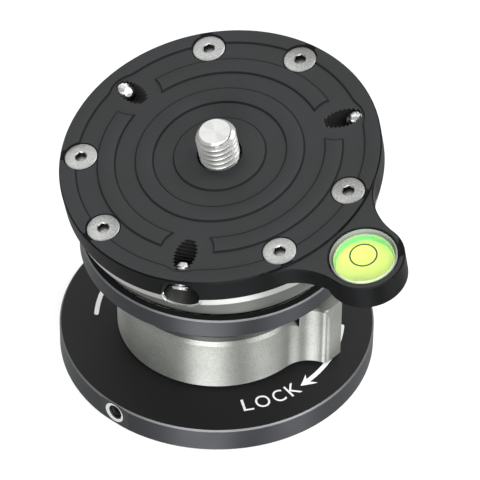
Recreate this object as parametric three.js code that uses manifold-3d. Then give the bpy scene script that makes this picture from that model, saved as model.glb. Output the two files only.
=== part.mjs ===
// Half-bowl leveling base: a round base flange that screws onto a tripod, a clamped ball socket with
// a lock ring, and a camera plate that leans up to fifteen degrees any way and turns right round.
// The origin is the centre of the flange's bottom face, +Z is up and +X points at the bubble level.
// Lengths are in millimetres and angles in degrees.

import * as THREE from "three";
import { mergeVertices } from "three/addons/utils/BufferGeometryUtils.js";
import Module from "manifold-3d";

const wasm = await Module();
wasm.setup();

// Clearances
const runGap = 0.3;
const seatGap = 0.3;
const domeGap = 0.4;
const levelGap = 0.12;
const stopGap = 1;
const overrun = 1;

// Base flange
const baseRadius = 37.5;
const baseThickness = 6.35;
const baseChamfer = 0.45;
const baseLowChamfer = 0.2;
const baseFlatDepth = 0.24;
const edgeHoleRadius = 1.85;
const edgeHoleDepth = 9;
const edgeHoleMouth = 0.8;
const edgeScrewLength = 6;
const edgeScrewSunk = 1.1;
const edgeScrewKey = 1.5;
const edgeScrewChamfer = 0.5;
const edgeHoleAzimuth = -84;

// Threaded insert for the tripod screw
const tripodRadius = 4.35;
const tripodDepth = 8.4;
const insertRadius = 7;
const insertShoulderRadius = 8.5;
const insertShoulderHeight = 2;
const insertRoof = 1.2;
const insertRecess = 0.2;

// Lock ring, its lever and its two cam grooves
const ringWall = 6.7;
const ringHeight = 14.55;
const ringChamfer = 0.6;
const leverLength = 5.9;
const leverEndWidth = 5.5;
const leverHollow = 7.6;
const leverHollowAngle = -4.3;
const leverBackAngle = 67.5;
const leverBackFillet = 6;
const leverCorner = 0.9;
const leverRise = 2.7;
const leverBevel = 1.1;
const leverAzimuth = 4.2;
const leverLandShare = 1.03;
const turnToLockAngle = 30;
const turnToOpenAngle = 100;
const camLead = 0.3;
const camDepth = 3.5;
const slipWasherHeight = 1;
const slipWasherWidth = 3;

// Socket: sleeve, cup and collar
const footBore = 8;
const neckInset = 1.5;
const neckHeight = 2.8;
const collarLand = 2;
const collarHeight = 4.85;
const collarChamfer = 0.4;
const collarRoot = 1.2;
const cupClearance = 0.4;
const cupFloor = 1;
const mouthAngle = 51.06;
const seatRingWall = 1.5;
const seatRingLowAngle = 39;
const seatRingHighAngle = 49;

// Screws that hold the socket on the base, and those that hold the plate on the bowl
const screwRadius = 2;
const screwHeadRadius = 3.8;
const screwHeadHeight = 2;
const screwKey = 2.5;
const screwKeyDepth = 1.4;
const screwHeadSunk = 0.1;
const screwTipChamfer = 0.6;
const socketScrewOutset = 4;
const socketScrewInset = 4.5;
const socketScrewLength = 11.6;
const socketScrewCount = 3;
const socketScrewAzimuth = 15;
const plateScrewInset = 4.9;
const plateScrewLength = 11.6;
const plateScrewSpreadAngle = 40;

// Cross pin, draw bolt, release spring and clamp dome
const pinRadius = 2;
const pinHeight = 9.15;
const pinChamfer = 0.6;
const pinAzimuth = 105;
const boltRadius = 4;
const boltFootHeight = 4.8;
const boltFootShare = 0.45;
const boltEnd = 1.5;
const boltChamfer = 0.6;
const springWire = 0.45;
const springTurns = 2.5;
const domeWall = 3.5;
const domeBoss = 0.9;
const domeBossRadius = 8;
const domeOverlapAngle = 5;
const washerRadius = 7.6;
const washerHeight = 1.2;
const nutFlats = 13;
const nutHeight = 6.5;
const tiltClearance = 0.5;

// Bowl and its lining. The bowl's radius follows from the plate's.
const tiltLimitAngle = 15;
const bowlWall = 4.5;
const bowlLand = 3.1;
const bowlDraft = 0.35;
const linerWall = 0.8;
const linerMarginAngle = 1.2;
const rimMarginAngle = 1.5;

// Camera plate
const leanAngle = 11.77;
const plateRadius = 37.5;
const plateOverhang = 0.7;
const plateDrop = 2.3;
const plateThickness = 5.6;
const plateChamfer = 0.35;
const reliefDepth = 0.35;
const reliefStart = 10.9;
const reliefInset = 8.8;
const reliefRimInset = 4.1;
const slotBulge = 0.85;
const slotBulgeAngle = 8;
const slotClear = 6.1;
const slotClearInset = 9.2;
const plateBossRadius = 13;
const plateBossDepth = 4.5;

// Anti-twist set screws in their slanted threads
const slotCount = 3;
const slotAzimuth = 60;
const slotSlopeAngle = 34;
const slotInset = 8.5;
const setScrewRadius = 2.2;
const setScrewLength = 6.2;
const setScrewTip = 2.4;
const setScrewKey = 2;
const setScrewKeyDepth = 1.8;
const setScrewCone = 1.1;
const setBoreGap = 0.25;
const scoopRadius = 4.7;
const scoopStart = 7.5;

// Camera screw and the threaded ring that holds it up
const studRadius = 4.76;
const studHeight = 8;
const studChamfer = 1.1;
const studHeadRadius = 8.5;
const studHeadHeight = 3.4;
const studHeadChamfer = 0.55;
const studKey = 6;
const studKeyDepth = 2.4;
const retainerHeight = 1.4;
const retainerBore = 5.6;
const retainerSunk = 0.2;

// Ear and bubble level
const earGap = 0.1;
const earRoot = 4;
const earWall = 1.4;
const earFlare = 15.5;
const earDrop = 0.5;
const earBossHeight = 7.2;
const levelRadius = 7.7;
const levelFloor = 1;
const levelWall = 1.3;
const levelLens = 1.1;
const levelBackHeight = 0.9;
const levelProud = 0.2;

// Facets round each kind of piece
const roundSteps = 44;
const clampSteps = 36;
const innerSteps = 24;
const smallSteps = 12;

const radians = THREE.MathUtils.degToRad;
const degrees = THREE.MathUtils.radToDeg;
const turnAngle = (length, radius) => degrees(Math.asin(length / radius));

// Depths below the pivot, along the leaned plate's axis
const plateTop = -plateDrop;
const plateBottom = plateTop - plateThickness;
const earTop = plateTop - earDrop;
const bowlTop = plateBottom - seatGap;
const landBottom = bowlTop - bowlLand;
const plateBossBottom = plateBottom - plateBossDepth;
const retainerTop = plateBossBottom + retainerSunk + retainerHeight;
const studSeat = retainerTop + studHeadHeight + 2 * seatGap;

// Circles and radii that follow the plate's radius, the insert's and the level's
const landRadius = plateRadius - plateOverhang;
const bowlRadius = Math.hypot(landRadius, landBottom);
const bowlInner = bowlRadius - bowlWall;
const linerOuter = bowlInner - runGap;
const domeRadius = linerOuter - linerWall - domeGap;
const domeInner = domeRadius - domeWall;
const cupRadius = bowlRadius + cupClearance;
const collarRadius = cupRadius * Math.sin(radians(mouthAngle)) + collarLand;
const plateScrewCircle = plateRadius - plateScrewInset;
const slotCircle = plateRadius - slotInset;
const slotClearCircle = plateRadius - slotClearInset;
const earRadius = levelRadius + seatGap + earWall;
const earCircle = landRadius + earGap + earRadius;
const socketScrewCircle = insertShoulderRadius + socketScrewOutset;
const sleeveRadius = socketScrewCircle + socketScrewInset;
const ringRadius = sleeveRadius + ringWall;
const neckRadius = ringRadius - neckInset;
const leverReach = ringRadius + leverLength;

// Heights up the base's axis
const ringBottom = baseThickness + runGap;
const ringTop = ringBottom + ringHeight;
const neckBottom = ringTop + runGap;
const pivotHeight = neckBottom + cupFloor + cupRadius;
const pinLevel = baseThickness + pinHeight;
const pinDown = (camLead * turnToLockAngle * Math.PI) / 180;
const pinUp = (camLead * turnToOpenAngle * Math.PI) / 180;
const footBottom = pinLevel - boltFootHeight * boltFootShare;
const footTop = footBottom + boltFootHeight;

// The bowl's bottom hole lets the plate lean to its limit before the rim of the hole meets the bolt.
const holeAngle = tiltLimitAngle + turnAngle(boltRadius + tiltClearance, bowlRadius);
const holeRadius = bowlRadius * Math.sin(radians(holeAngle));
const holeInnerAngle = turnAngle(holeRadius, bowlInner);
const domeAngle = holeInnerAngle + tiltLimitAngle + domeOverlapAngle;
const rimAngle = domeAngle + tiltLimitAngle + rimMarginAngle;
const rimInner = bowlInner * Math.sin(radians(rimAngle));

// A closed geometry as a solid that can be joined and cut.
function solid(geometry) {
  const bare = geometry.index ? geometry.toNonIndexed() : geometry.clone();
  bare.deleteAttribute("normal");
  bare.deleteAttribute("uv");
  const merged = mergeVertices(bare);
  const kept = [];
  const index = merged.index.array;
  for (let i = 0; i < index.length; i += 3) {
    const [a, b, c] = [index[i], index[i + 1], index[i + 2]];
    if (a !== b && b !== c && c !== a) kept.push(a, b, c);
  }
  return new wasm.Manifold(
    new wasm.Mesh({
      numProp: 3,
      vertProperties: merged.attributes.position.array,
      triVerts: new Uint32Array(kept),
    }),
  );
}

// A finished solid as a named mesh in its group.
function piece(group, name, body, material) {
  const made = body.getMesh();
  const geometry = new THREE.BufferGeometry();
  geometry.setAttribute("position", new THREE.BufferAttribute(made.vertProperties, 3));
  geometry.setIndex(new THREE.BufferAttribute(made.triVerts, 1));
  geometry.computeVertexNormals();
  const mesh = new THREE.Mesh(geometry, material);
  mesh.name = name;
  group.add(mesh);
  return mesh;
}

// Points round a circle, between two angles in degrees.
function arc(x, y, radius, from, to, steps) {
  const points = [];
  for (let i = 0; i <= steps; i += 1) {
    const angle = radians(from + ((to - from) * i) / steps);
    points.push([x + radius * Math.cos(angle), y + radius * Math.sin(angle)]);
  }
  return points;
}

// Profile points on a sphere about the pivot, with angles counted from straight down.
function sphereArc(radius, from, to, steps, centre = 0) {
  return arc(0, centre, radius, from - 90, to - 90, steps);
}

// A profile of radius and height pairs, counter-clockwise, turned about Z. It closes on itself.
function turned(profile, steps = roundSteps) {
  const points = profile.map(([radius, height]) => new THREE.Vector2(Math.max(radius, 0), height));
  points.push(points[0].clone());
  return solid(new THREE.LatheGeometry(points, steps).rotateX(Math.PI / 2));
}

function disc(radius, bottom, top, steps = roundSteps) {
  return turned([[0, bottom], [radius, bottom], [radius, top], [0, top]], steps);
}

function band(inner, outer, bottom, top, steps = roundSteps) {
  return turned([[inner, bottom], [outer, bottom], [outer, top], [inner, top]], steps);
}

// A prism on a flat outline, given as points in order.
function prism(points, bottom, top) {
  const shape = new THREE.Shape(points.map(([x, y]) => new THREE.Vector2(x, y)));
  const settings = { depth: top - bottom, bevelEnabled: false };
  return solid(new THREE.ExtrudeGeometry(shape, settings).translate(0, 0, bottom));
}

function hexPrism(flats, bottom, top) {
  return prism(arc(0, 0, flats / Math.sqrt(3), 0, 300, 5), bottom, top);
}

function placed(body, matrix) {
  return body.transform(matrix.elements);
}

// A body turned about Z and moved out along that azimuth.
function round(body, azimuth, radius = 0, height = 0) {
  const matrix = new THREE.Matrix4().makeRotationZ(radians(azimuth));
  return placed(body, matrix.multiply(new THREE.Matrix4().makeTranslation(radius, 0, height)));
}

// A body made along +Z, laid along the slanted axis of the set screw at an azimuth. Distance zero
// is where the axis crosses the plate's top face, and the axis runs outward and down.
function slanted(body, azimuth) {
  const matrix = new THREE.Matrix4().makeRotationZ(radians(azimuth));
  matrix.multiply(new THREE.Matrix4().makeTranslation(slotCircle, 0, plateTop));
  matrix.multiply(new THREE.Matrix4().makeRotationY(radians(90 + slotSlopeAngle)));
  return placed(body, matrix);
}

// A body made along +Z, laid along +X at a height and turned to an azimuth.
function radial(body, azimuth, height) {
  const matrix = new THREE.Matrix4().makeRotationZ(radians(azimuth));
  matrix.multiply(new THREE.Matrix4().makeTranslation(0, 0, height));
  matrix.multiply(new THREE.Matrix4().makeRotationY(Math.PI / 2));
  return placed(body, matrix);
}

function cutAll(body, tools) {
  return tools.reduce((rest, tool) => rest.subtract(tool), body);
}

function material(color, roughness, metalness) {
  return new THREE.MeshStandardMaterial({ color, roughness, metalness });
}

const blackAnodised = material("#2b2c2d", 0.5, 0.6);
const plateBlack = material("#48494a", 0.55, 0.5);
const blastedSilver = material("#a9aca7", 0.45, 0.9);
const turnedSilver = material("#c4c6c2", 0.3, 0.95);
const stainless = material("#d5d6d4", 0.25, 1);
const steel = material("#8d9092", 0.4, 0.9);
const brass = material("#b08d4a", 0.4, 0.9);
const acetal = material("#e9e7df", 0.6, 0);
const blackAcetal = material("#1d1e1f", 0.6, 0);
const acrylic = material("#e6ece0", 0.1, 0);
const levelFluid = material("#d5f23c", 0.2, 0);

const model = new THREE.Group();
const leaned = new THREE.Group();
leaned.position.set(0, 0, pivotHeight);
leaned.rotation.x = radians(leanAngle);
model.add(leaned);

// A countersunk screw with a hexagon socket. Its head's face is at height zero and its shank
// points down.
function countersunkScrew(length) {
  const cone = screwHeadRadius - screwRadius;
  const land = screwHeadHeight - cone;
  const body = turned(
    [
      [0, -length],
      [screwRadius - screwTipChamfer, -length],
      [screwRadius, screwTipChamfer - length],
      [screwRadius, -screwHeadHeight],
      [screwHeadRadius, -land],
      [screwHeadRadius, 0],
      [0, 0],
    ],
    smallSteps,
  );
  return body.subtract(hexPrism(screwKey, -screwKeyDepth, overrun));
}

// The hole that takes that screw with its head a little sunk, with the hole's mouth at height zero.
function countersink(length) {
  const mouth = screwHeadRadius + seatGap;
  const bore = screwRadius + seatGap;
  const depth = screwHeadHeight + screwHeadSunk;
  return turned(
    [
      [0, -length],
      [bore, -length],
      [bore, -depth],
      [mouth, mouth - bore - depth],
      [mouth, overrun],
      [0, overrun],
    ],
    smallSteps,
  );
}

// Turned upside down, for the screws that enter from below.
function flipped(body) {
  return placed(body, new THREE.Matrix4().makeRotationX(Math.PI));
}

// Base flange: a turned disc with a stepped hole for the insert, three countersinks in its bottom
// and a tapped hole in a small flat on its edge.
function makeBaseFlange() {
  const disk = turned([
    [0, 0],
    [baseRadius - baseLowChamfer, 0],
    [baseRadius, baseLowChamfer],
    [baseRadius, baseThickness - baseChamfer],
    [baseRadius - baseChamfer, baseThickness],
    [0, baseThickness],
  ]);
  const shoulderSeat = baseThickness - insertShoulderHeight;
  const tools = [
    disc(insertRadius + seatGap, -overrun, baseThickness + overrun, innerSteps),
    disc(insertShoulderRadius + seatGap, shoulderSeat, baseThickness + overrun, innerSteps),
  ];
  for (let i = 0; i < socketScrewCount; i += 1) {
    const azimuth = socketScrewAzimuth + (360 / socketScrewCount) * i;
    const hole = flipped(countersink(baseThickness + overrun));
    tools.push(round(hole, azimuth, socketScrewCircle));
  }
  const beyond = baseRadius + overrun;
  const edgeHole = turned(
    [
      [0, baseRadius - edgeHoleDepth],
      [edgeHoleRadius, baseRadius - edgeHoleDepth],
      [edgeHoleRadius, baseRadius - baseFlatDepth - edgeHoleMouth],
      [edgeHoleRadius + edgeHoleMouth, baseRadius - baseFlatDepth],
      [edgeHoleRadius + edgeHoleMouth, beyond],
      [0, beyond],
    ],
    smallSteps,
  );
  tools.push(radial(edgeHole, edgeHoleAzimuth, baseThickness / 2));
  const flat = new THREE.BoxGeometry(2 * overrun, baseRadius, 2 * baseRadius);
  flat.translate(baseRadius - baseFlatDepth + overrun, 0, 0);
  tools.push(round(solid(flat), edgeHoleAzimuth));
  return cutAll(disk, tools);
}

function makeEdgeScrew() {
  const outer = baseRadius - baseFlatDepth - edgeScrewSunk;
  const radius = edgeHoleRadius - runGap;
  const chamfer = edgeScrewChamfer;
  const body = turned(
    [
      [0, outer - edgeScrewLength],
      [radius - chamfer, outer - edgeScrewLength],
      [radius, outer - edgeScrewLength + chamfer],
      [radius, outer],
      [0, outer],
    ],
    smallSteps,
  );
  const socket = hexPrism(edgeScrewKey, outer - edgeScrewKey, outer + overrun);
  return radial(body.subtract(socket), edgeHoleAzimuth, baseThickness / 2);
}

// Insert: a blind threaded cup whose shoulder is caught between the flange and the sleeve.
function makeTripodInsert() {
  const shoulder = baseThickness - insertShoulderHeight;
  const ceiling = insertRecess + tripodDepth;
  return turned(
    [
      [tripodRadius, insertRecess],
      [insertRadius, insertRecess],
      [insertRadius, shoulder],
      [insertShoulderRadius, shoulder],
      [insertShoulderRadius, baseThickness],
      [insertRadius, baseThickness],
      [insertRadius, ceiling + insertRoof],
      [0, ceiling + insertRoof],
      [0, ceiling],
      [tripodRadius, ceiling],
    ],
    innerSteps,
  );
}

// Socket: a sleeve that passes down through the lock ring, and a cup with a collar round its mouth.
function makeSocketCup() {
  const neckTop = neckBottom + neckHeight;
  const collarTop = pivotHeight - cupRadius * Math.cos(radians(mouthAngle));
  const collarBottom = collarTop - collarHeight;
  const boltBore = boltRadius + runGap;
  const boreTop = footTop + pinUp + stopGap;
  const seatRadius = cupRadius + seatRingWall;
  const seatSlack = turnAngle(seatGap, cupRadius);
  const body = turned([
    [footBore, baseThickness],
    [sleeveRadius, baseThickness],
    [sleeveRadius, neckBottom],
    [neckRadius, neckBottom],
    [neckRadius, neckTop],
    [collarRadius - collarRoot, collarBottom - collarRoot],
    [collarRadius, collarBottom],
    [collarRadius, collarTop - collarChamfer],
    [collarRadius - collarChamfer, collarTop],
    ...sphereArc(cupRadius, mouthAngle, seatRingHighAngle + seatSlack, 1, pivotHeight),
    ...sphereArc(seatRadius, seatRingHighAngle + seatSlack, seatRingLowAngle - seatSlack, 2, pivotHeight),
    ...sphereArc(cupRadius, seatRingLowAngle - seatSlack, turnAngle(boltBore, cupRadius), 5, pivotHeight),
    [boltBore, boreTop],
    [footBore, boreTop],
  ]);
  const tools = [];
  for (let i = 0; i < socketScrewCount; i += 1) {
    const azimuth = socketScrewAzimuth + (360 / socketScrewCount) * i;
    const depth = screwHeadSunk + socketScrewLength + runGap;
    const hole = disc(screwRadius + runGap, baseThickness - overrun, depth, smallSteps);
    tools.push(round(hole, azimuth, socketScrewCircle));
  }
  const slotWidth = 2 * (pinRadius + runGap);
  const slot = new THREE.BoxGeometry(2 * (sleeveRadius + overrun), slotWidth, slotWidth + pinDown + pinUp);
  slot.translate(0, 0, pinLevel + (pinUp - pinDown) / 2);
  tools.push(round(solid(slot), pinAzimuth));
  return cutAll(body, tools);
}

// Lever outline from above, with its flat end facing +X. A hollow for the finger runs from the
// ring to the end's near corner, and a straight back runs from the far corner to the ring.
function leverOutline() {
  const hollowAway = ringRadius + leverHollow;
  const hollowX = hollowAway * Math.cos(radians(leverHollowAngle));
  const hollowY = hollowAway * Math.sin(radians(leverHollowAngle));
  const nearY = hollowY + Math.sqrt(leverHollow ** 2 - (hollowX - leverReach) ** 2);
  const endX = leverReach - leverCorner;
  const nearCornerY = hollowY + Math.sqrt((leverHollow + leverCorner) ** 2 - (hollowX - endX) ** 2);
  const nearAngle = degrees(Math.atan2(nearCornerY - hollowY, endX - hollowX));
  const backCosine = Math.cos(radians(leverBackAngle));
  const backSine = Math.sin(radians(leverBackAngle));
  const backLevel = leverReach * backCosine + (nearY + leverEndWidth) * backSine;
  const farCornerY = (backLevel - leverCorner - endX * backCosine) / backSine;
  const backAway = ringRadius + leverBackFillet;
  const backTurn = degrees(Math.acos((backLevel + leverBackFillet) / backAway));
  const backAzimuth = leverBackAngle - backTurn;
  const backX = backAway * Math.cos(radians(backAzimuth));
  const backY = backAway * Math.sin(radians(backAzimuth));
  const inside = ringRadius - ringChamfer - overrun;
  return [
    ...arc(0, 0, inside, backAzimuth, leverHollowAngle, 6),
    ...arc(hollowX, hollowY, leverHollow, 180 + leverHollowAngle, nearAngle, 8),
    ...arc(endX, nearCornerY, leverCorner, nearAngle - 180, 0, 3).slice(1),
    ...arc(endX, farCornerY, leverCorner, 0, leverBackAngle, 3),
    ...arc(backX, backY, leverBackFillet, leverBackAngle - 180, backAzimuth - 180, 5),
  ];
}

// One cam groove round the inside of the ring: a curved slot that climbs as it runs round, so that
// it lifts or lowers the cross pin when the ring turns.
function camGroove() {
  const inner = sleeveRadius - overrun;
  const outer = sleeveRadius + runGap + camDepth;
  const endSpace = turnAngle(pinRadius + runGap, sleeveRadius);
  const from = -turnToOpenAngle - endSpace;
  const to = turnToLockAngle + endSpace;
  const steps = 12;
  const halfHeight = pinRadius + runGap;
  const shape = new THREE.Shape(
    [...arc(0, 0, outer, from, to, steps), ...arc(0, 0, inner, to, from, steps)].map(
      ([x, y]) => new THREE.Vector2(x, y),
    ),
  );
  const geometry = new THREE.ExtrudeGeometry(shape, { depth: 2 * halfHeight, bevelEnabled: false });
  const places = geometry.getAttribute("position");
  for (let i = 0; i < places.count; i += 1) {
    const angle = Math.atan2(places.getY(i), places.getX(i));
    places.setZ(i, places.getZ(i) + pinLevel - halfHeight - camLead * angle);
  }
  return solid(geometry);
}

function makeLockRing() {
  const bore = sleeveRadius + runGap;
  const recess = bore + slipWasherWidth + seatGap;
  const recessTop = baseThickness + slipWasherHeight + runGap;
  const ring = turned([
    [recess, ringBottom],
    [ringRadius - ringChamfer, ringBottom],
    [ringRadius, ringBottom + ringChamfer],
    [ringRadius, ringTop - ringChamfer],
    [ringRadius - ringChamfer, ringTop],
    [bore, ringTop],
    [bore, recessTop],
    [recess, recessTop],
  ]);
  const leverTop = ringTop + leverRise;
  const side = prism(
    [
      [0, ringBottom],
      [leverReach + overrun, ringBottom],
      [leverReach + overrun, leverTop - leverBevel - overrun],
      [leverReach - leverBevel, leverTop],
      [0, leverTop],
    ],
    -leverReach,
    leverReach,
  );
  const bevelled = placed(side, new THREE.Matrix4().makeRotationX(Math.PI / 2));
  const lever = prism(leverOutline(), ringBottom, leverTop).intersect(bevelled);
  const land = disc(ringRadius * leverLandShare, ringTop, leverTop + overrun);
  const shaped = round(lever.subtract(land), leverAzimuth);
  const grooves = [round(camGroove(), pinAzimuth), round(camGroove(), pinAzimuth + 180)];
  return cutAll(ring.add(shaped), grooves);
}

// Slip washer between the ring and the flange.
function makeSlipWasher() {
  const inner = sleeveRadius + runGap;
  return band(inner, inner + slipWasherWidth, baseThickness, baseThickness + slipWasherHeight, innerSteps);
}

function makeDrivePin() {
  const half = sleeveRadius + camDepth - runGap;
  const chamfer = pinChamfer;
  const body = turned(
    [
      [0, -half],
      [pinRadius - chamfer, -half],
      [pinRadius, chamfer - half],
      [pinRadius, half - chamfer],
      [pinRadius - chamfer, half],
      [0, half],
    ],
    smallSteps,
  );
  return radial(body, pinAzimuth, pinLevel);
}

// Heights of the stack on the draw bolt.
const domeBossTop = pivotHeight - domeInner + domeBoss;
const nutBottom = domeBossTop + washerHeight;
const boltTop = nutBottom + nutHeight + boltEnd;

// Draw bolt: a guided foot that the cross pin passes through, and a shank up to the clamp nut.
function makeDrawBolt() {
  const body = turned(
    [
      [0, footBottom],
      [footBore - runGap, footBottom],
      [footBore - runGap, footTop],
      [boltRadius, footTop],
      [boltRadius, boltTop - boltChamfer],
      [boltRadius - boltChamfer, boltTop],
      [0, boltTop],
    ],
    innerSteps,
  );
  const bore = disc(pinRadius + runGap, -footBore - overrun, footBore + overrun, smallSteps);
  return body.subtract(radial(bore, pinAzimuth, pinLevel));
}

// The release spring's wire follows a helix.
class Helix extends THREE.Curve {
  constructor(radius, bottom, top, turns) {
    super();
    Object.assign(this, { radius, bottom, top, turns });
  }

  getPoint(share) {
    const angle = 2 * Math.PI * this.turns * share;
    const height = this.bottom + (this.top - this.bottom) * share;
    return new THREE.Vector3(this.radius * Math.cos(angle), this.radius * Math.sin(angle), height);
  }
}

function makeReleaseSpring() {
  const floor = insertRecess + tripodDepth + insertRoof;
  const radius = (footBore + boltRadius) / 2 - springWire;
  const space = springWire + runGap;
  const path = new Helix(radius, floor + space, footBottom - space, springTurns);
  const section = new THREE.Shape(
    arc(0, 0, springWire, 0, 300, 5).map(([x, y]) => new THREE.Vector2(x, y)),
  );
  const steps = Math.round(springTurns * 12);
  return solid(new THREE.ExtrudeGeometry(section, { steps, bevelEnabled: false, extrudePath: path }));
}

// Clamp dome: a spherical cap with a flat boss for the washer, pulled down onto the bowl's lining.
function makeClampDome() {
  const bore = boltRadius + runGap;
  return turned(
    [
      ...sphereArc(domeRadius, turnAngle(bore, domeRadius), domeAngle, 5, pivotHeight),
      ...sphereArc(domeInner, domeAngle, turnAngle(domeBossRadius, domeInner), 3, pivotHeight),
      [domeBossRadius, domeBossTop],
      [bore, domeBossTop],
    ],
    clampSteps,
  );
}

function makeClampNut() {
  const body = hexPrism(nutFlats, nutBottom, nutBottom + nutHeight);
  const bore = disc(boltRadius + runGap, nutBottom - overrun, boltTop + overrun, innerSteps);
  return body.subtract(bore);
}

// Seat ring: a band of acetal in the mouth of the cup that the bowl turns on.
function makeSeatRing() {
  const inner = bowlRadius + seatGap;
  const outer = cupRadius + seatRingWall - seatGap;
  return turned([
    ...sphereArc(outer, seatRingLowAngle, seatRingHighAngle, 2, pivotHeight),
    ...sphereArc(inner, seatRingHighAngle, seatRingLowAngle, 2, pivotHeight),
  ]);
}

// Half bowl, about the pivot: a turned rim under the plate, a sphere below it and a round hole in
// the bottom that lets the bolt through at every lean.
function makeBowl() {
  const landAngle = degrees(Math.acos(-landBottom / bowlRadius));
  const body = turned([
    ...sphereArc(bowlRadius, holeAngle, landAngle, 7),
    [landRadius - bowlDraft, bowlTop],
    [rimInner, bowlTop],
    ...sphereArc(bowlInner, rimAngle, holeInnerAngle, 4),
  ]);
  const tools = [];
  for (const azimuth of plateScrewAzimuths()) {
    const depth = plateTop - screwHeadSunk - plateScrewLength - seatGap;
    const hole = disc(screwRadius + seatGap, depth, bowlTop + overrun, smallSteps);
    tools.push(round(hole, azimuth, plateScrewCircle));
  }
  for (let i = 0; i < slotCount; i += 1) tools.push(scoop(i));
  return cutAll(body, tools);
}

// Lining: a thin shell inside the bowl that the clamp dome presses on.
function makeBowlLiner() {
  const low = holeInnerAngle + linerMarginAngle;
  const high = rimAngle - linerMarginAngle;
  return turned(
    [
      ...sphereArc(linerOuter, low, high, 5),
      ...sphereArc(linerOuter - linerWall, high, low, 5),
    ],
    clampSteps,
  );
}

function slotAngle(i) {
  return slotAzimuth + (360 / slotCount) * i;
}

function plateScrewAzimuths() {
  const azimuths = [];
  for (let i = 0; i < slotCount; i += 1) {
    azimuths.push(slotAngle(i) - plateScrewSpreadAngle, slotAngle(i) + plateScrewSpreadAngle);
  }
  return azimuths;
}

// The wide end of a set screw's hole, which opens the edges of the plate and the bowl.
function scoop(i) {
  return slanted(disc(scoopRadius, scoopStart, scoopStart + baseRadius, innerSteps), slotAngle(i));
}

// Ear outline from above: hollow flares run from the plate's edge into a round end.
function earOutline() {
  const reach = plateRadius + earFlare;
  const span = earRadius + earFlare;
  const cosine = (reach ** 2 + earCircle ** 2 - span ** 2) / (2 * reach * earCircle);
  const flareAngle = degrees(Math.acos(cosine));
  const flareX = reach * cosine;
  const flareY = reach * Math.sin(radians(flareAngle));
  const endAngle = degrees(Math.atan2(flareY, flareX - earCircle));
  const root = plateRadius - earRoot;
  return [
    ...arc(0, 0, root, flareAngle, -flareAngle, 4),
    ...arc(flareX, -flareY, earFlare, 180 - flareAngle, 180 - endAngle, 8),
    ...arc(earCircle, 0, earRadius, -endAngle, endAngle, 20).slice(1, -1),
    ...arc(flareX, flareY, earFlare, endAngle - 180, flareAngle - 180, 8),
  ];
}

// Shallow relief in the plate's face: three lowered rings, joined by a round clearing about each
// slot, which also pushes the outer ring's edge out a little.
function reliefTools() {
  const floor = plateTop - reliefDepth;
  const ceiling = plateTop + overrun;
  const step = (plateRadius - reliefInset - reliefStart) / 4;
  const radii = [0, 1, 2, 3, 4].map((count) => reliefStart + step * count);
  const edge = [];
  const edgeSteps = 1.5 * roundSteps;
  for (let i = 0; i < edgeSteps; i += 1) {
    const azimuth = (360 / edgeSteps) * i;
    const away = Math.abs(((azimuth - slotAzimuth + 180 / slotCount) % (360 / slotCount)) - 180 / slotCount);
    const bulgeShare = away < slotBulgeAngle ? (1 + Math.cos(Math.PI * (away / slotBulgeAngle))) / 2 : 0;
    const radius = plateRadius - reliefRimInset + slotBulge * bulgeShare;
    edge.push([radius * Math.cos(radians(azimuth)), radius * Math.sin(radians(azimuth))]);
  }
  const outer = prism(edge, floor, ceiling).subtract(disc(radii[4], floor - overrun, ceiling + overrun));
  const tools = [outer, band(radii[2], radii[3], floor, ceiling), band(radii[0], radii[1], floor, ceiling)];
  for (let i = 0; i < slotCount; i += 1) {
    tools.push(round(disc(slotClear, floor, ceiling, innerSteps), slotAngle(i), slotClearCircle));
  }
  return tools;
}

// Camera plate with its ear, about the pivot.
function makeTopPlate() {
  const disk = turned([
    [0, plateBossBottom],
    [plateBossRadius, plateBossBottom],
    [plateBossRadius, plateBottom],
    [plateRadius, plateBottom],
    [plateRadius, plateTop - plateChamfer],
    [plateRadius - plateChamfer, plateTop],
    [0, plateTop],
  ]);
  const ear = prism(earOutline(), plateBottom, earTop);
  const earBoss = round(disc(earRadius, earTop - earBossHeight, plateBottom + overrun, innerSteps), 0, earCircle);
  const pocket = disc(levelRadius + seatGap, earTop - earBossHeight + levelFloor, overrun, innerSteps);
  const tools = [
    round(pocket, 0, earCircle),
    disc(studRadius + seatGap, plateBossBottom - overrun, plateTop + overrun, innerSteps),
    disc(studHeadRadius + seatGap, plateBossBottom - overrun, studSeat, innerSteps),
  ];
  for (const azimuth of plateScrewAzimuths()) {
    const hole = countersink(plateThickness + overrun);
    tools.push(round(hole, azimuth, plateScrewCircle, plateTop));
  }
  for (let i = 0; i < slotCount; i += 1) {
    const thread = disc(setScrewRadius + setBoreGap, -plateRadius, scoopStart + overrun, smallSteps);
    tools.push(slanted(thread, slotAngle(i)), scoop(i));
  }
  return cutAll(disk.add(ear).add(earBoss), [...reliefTools(), ...tools]);
}

// Camera screw: a headed stud that enters from below and stands out of the plate.
function makeCameraScrew() {
  const headTop = studSeat - seatGap;
  const headBottom = headTop - studHeadHeight;
  const tip = plateTop + studHeight;
  const body = turned(
    [
      [0, headBottom],
      [studHeadRadius - studHeadChamfer, headBottom],
      [studHeadRadius, headBottom + studHeadChamfer],
      [studHeadRadius, headTop],
      [studRadius, headTop],
      [studRadius, tip - studChamfer],
      [studRadius - studChamfer, tip],
      [0, tip],
    ],
    innerSteps,
  );
  return body.subtract(hexPrism(studKey, headBottom - overrun, headBottom + studKeyDepth));
}

function makeStudRetainer() {
  const outer = studHeadRadius;
  return band(retainerBore, outer, retainerTop - retainerHeight, retainerTop, innerSteps);
}

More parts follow.
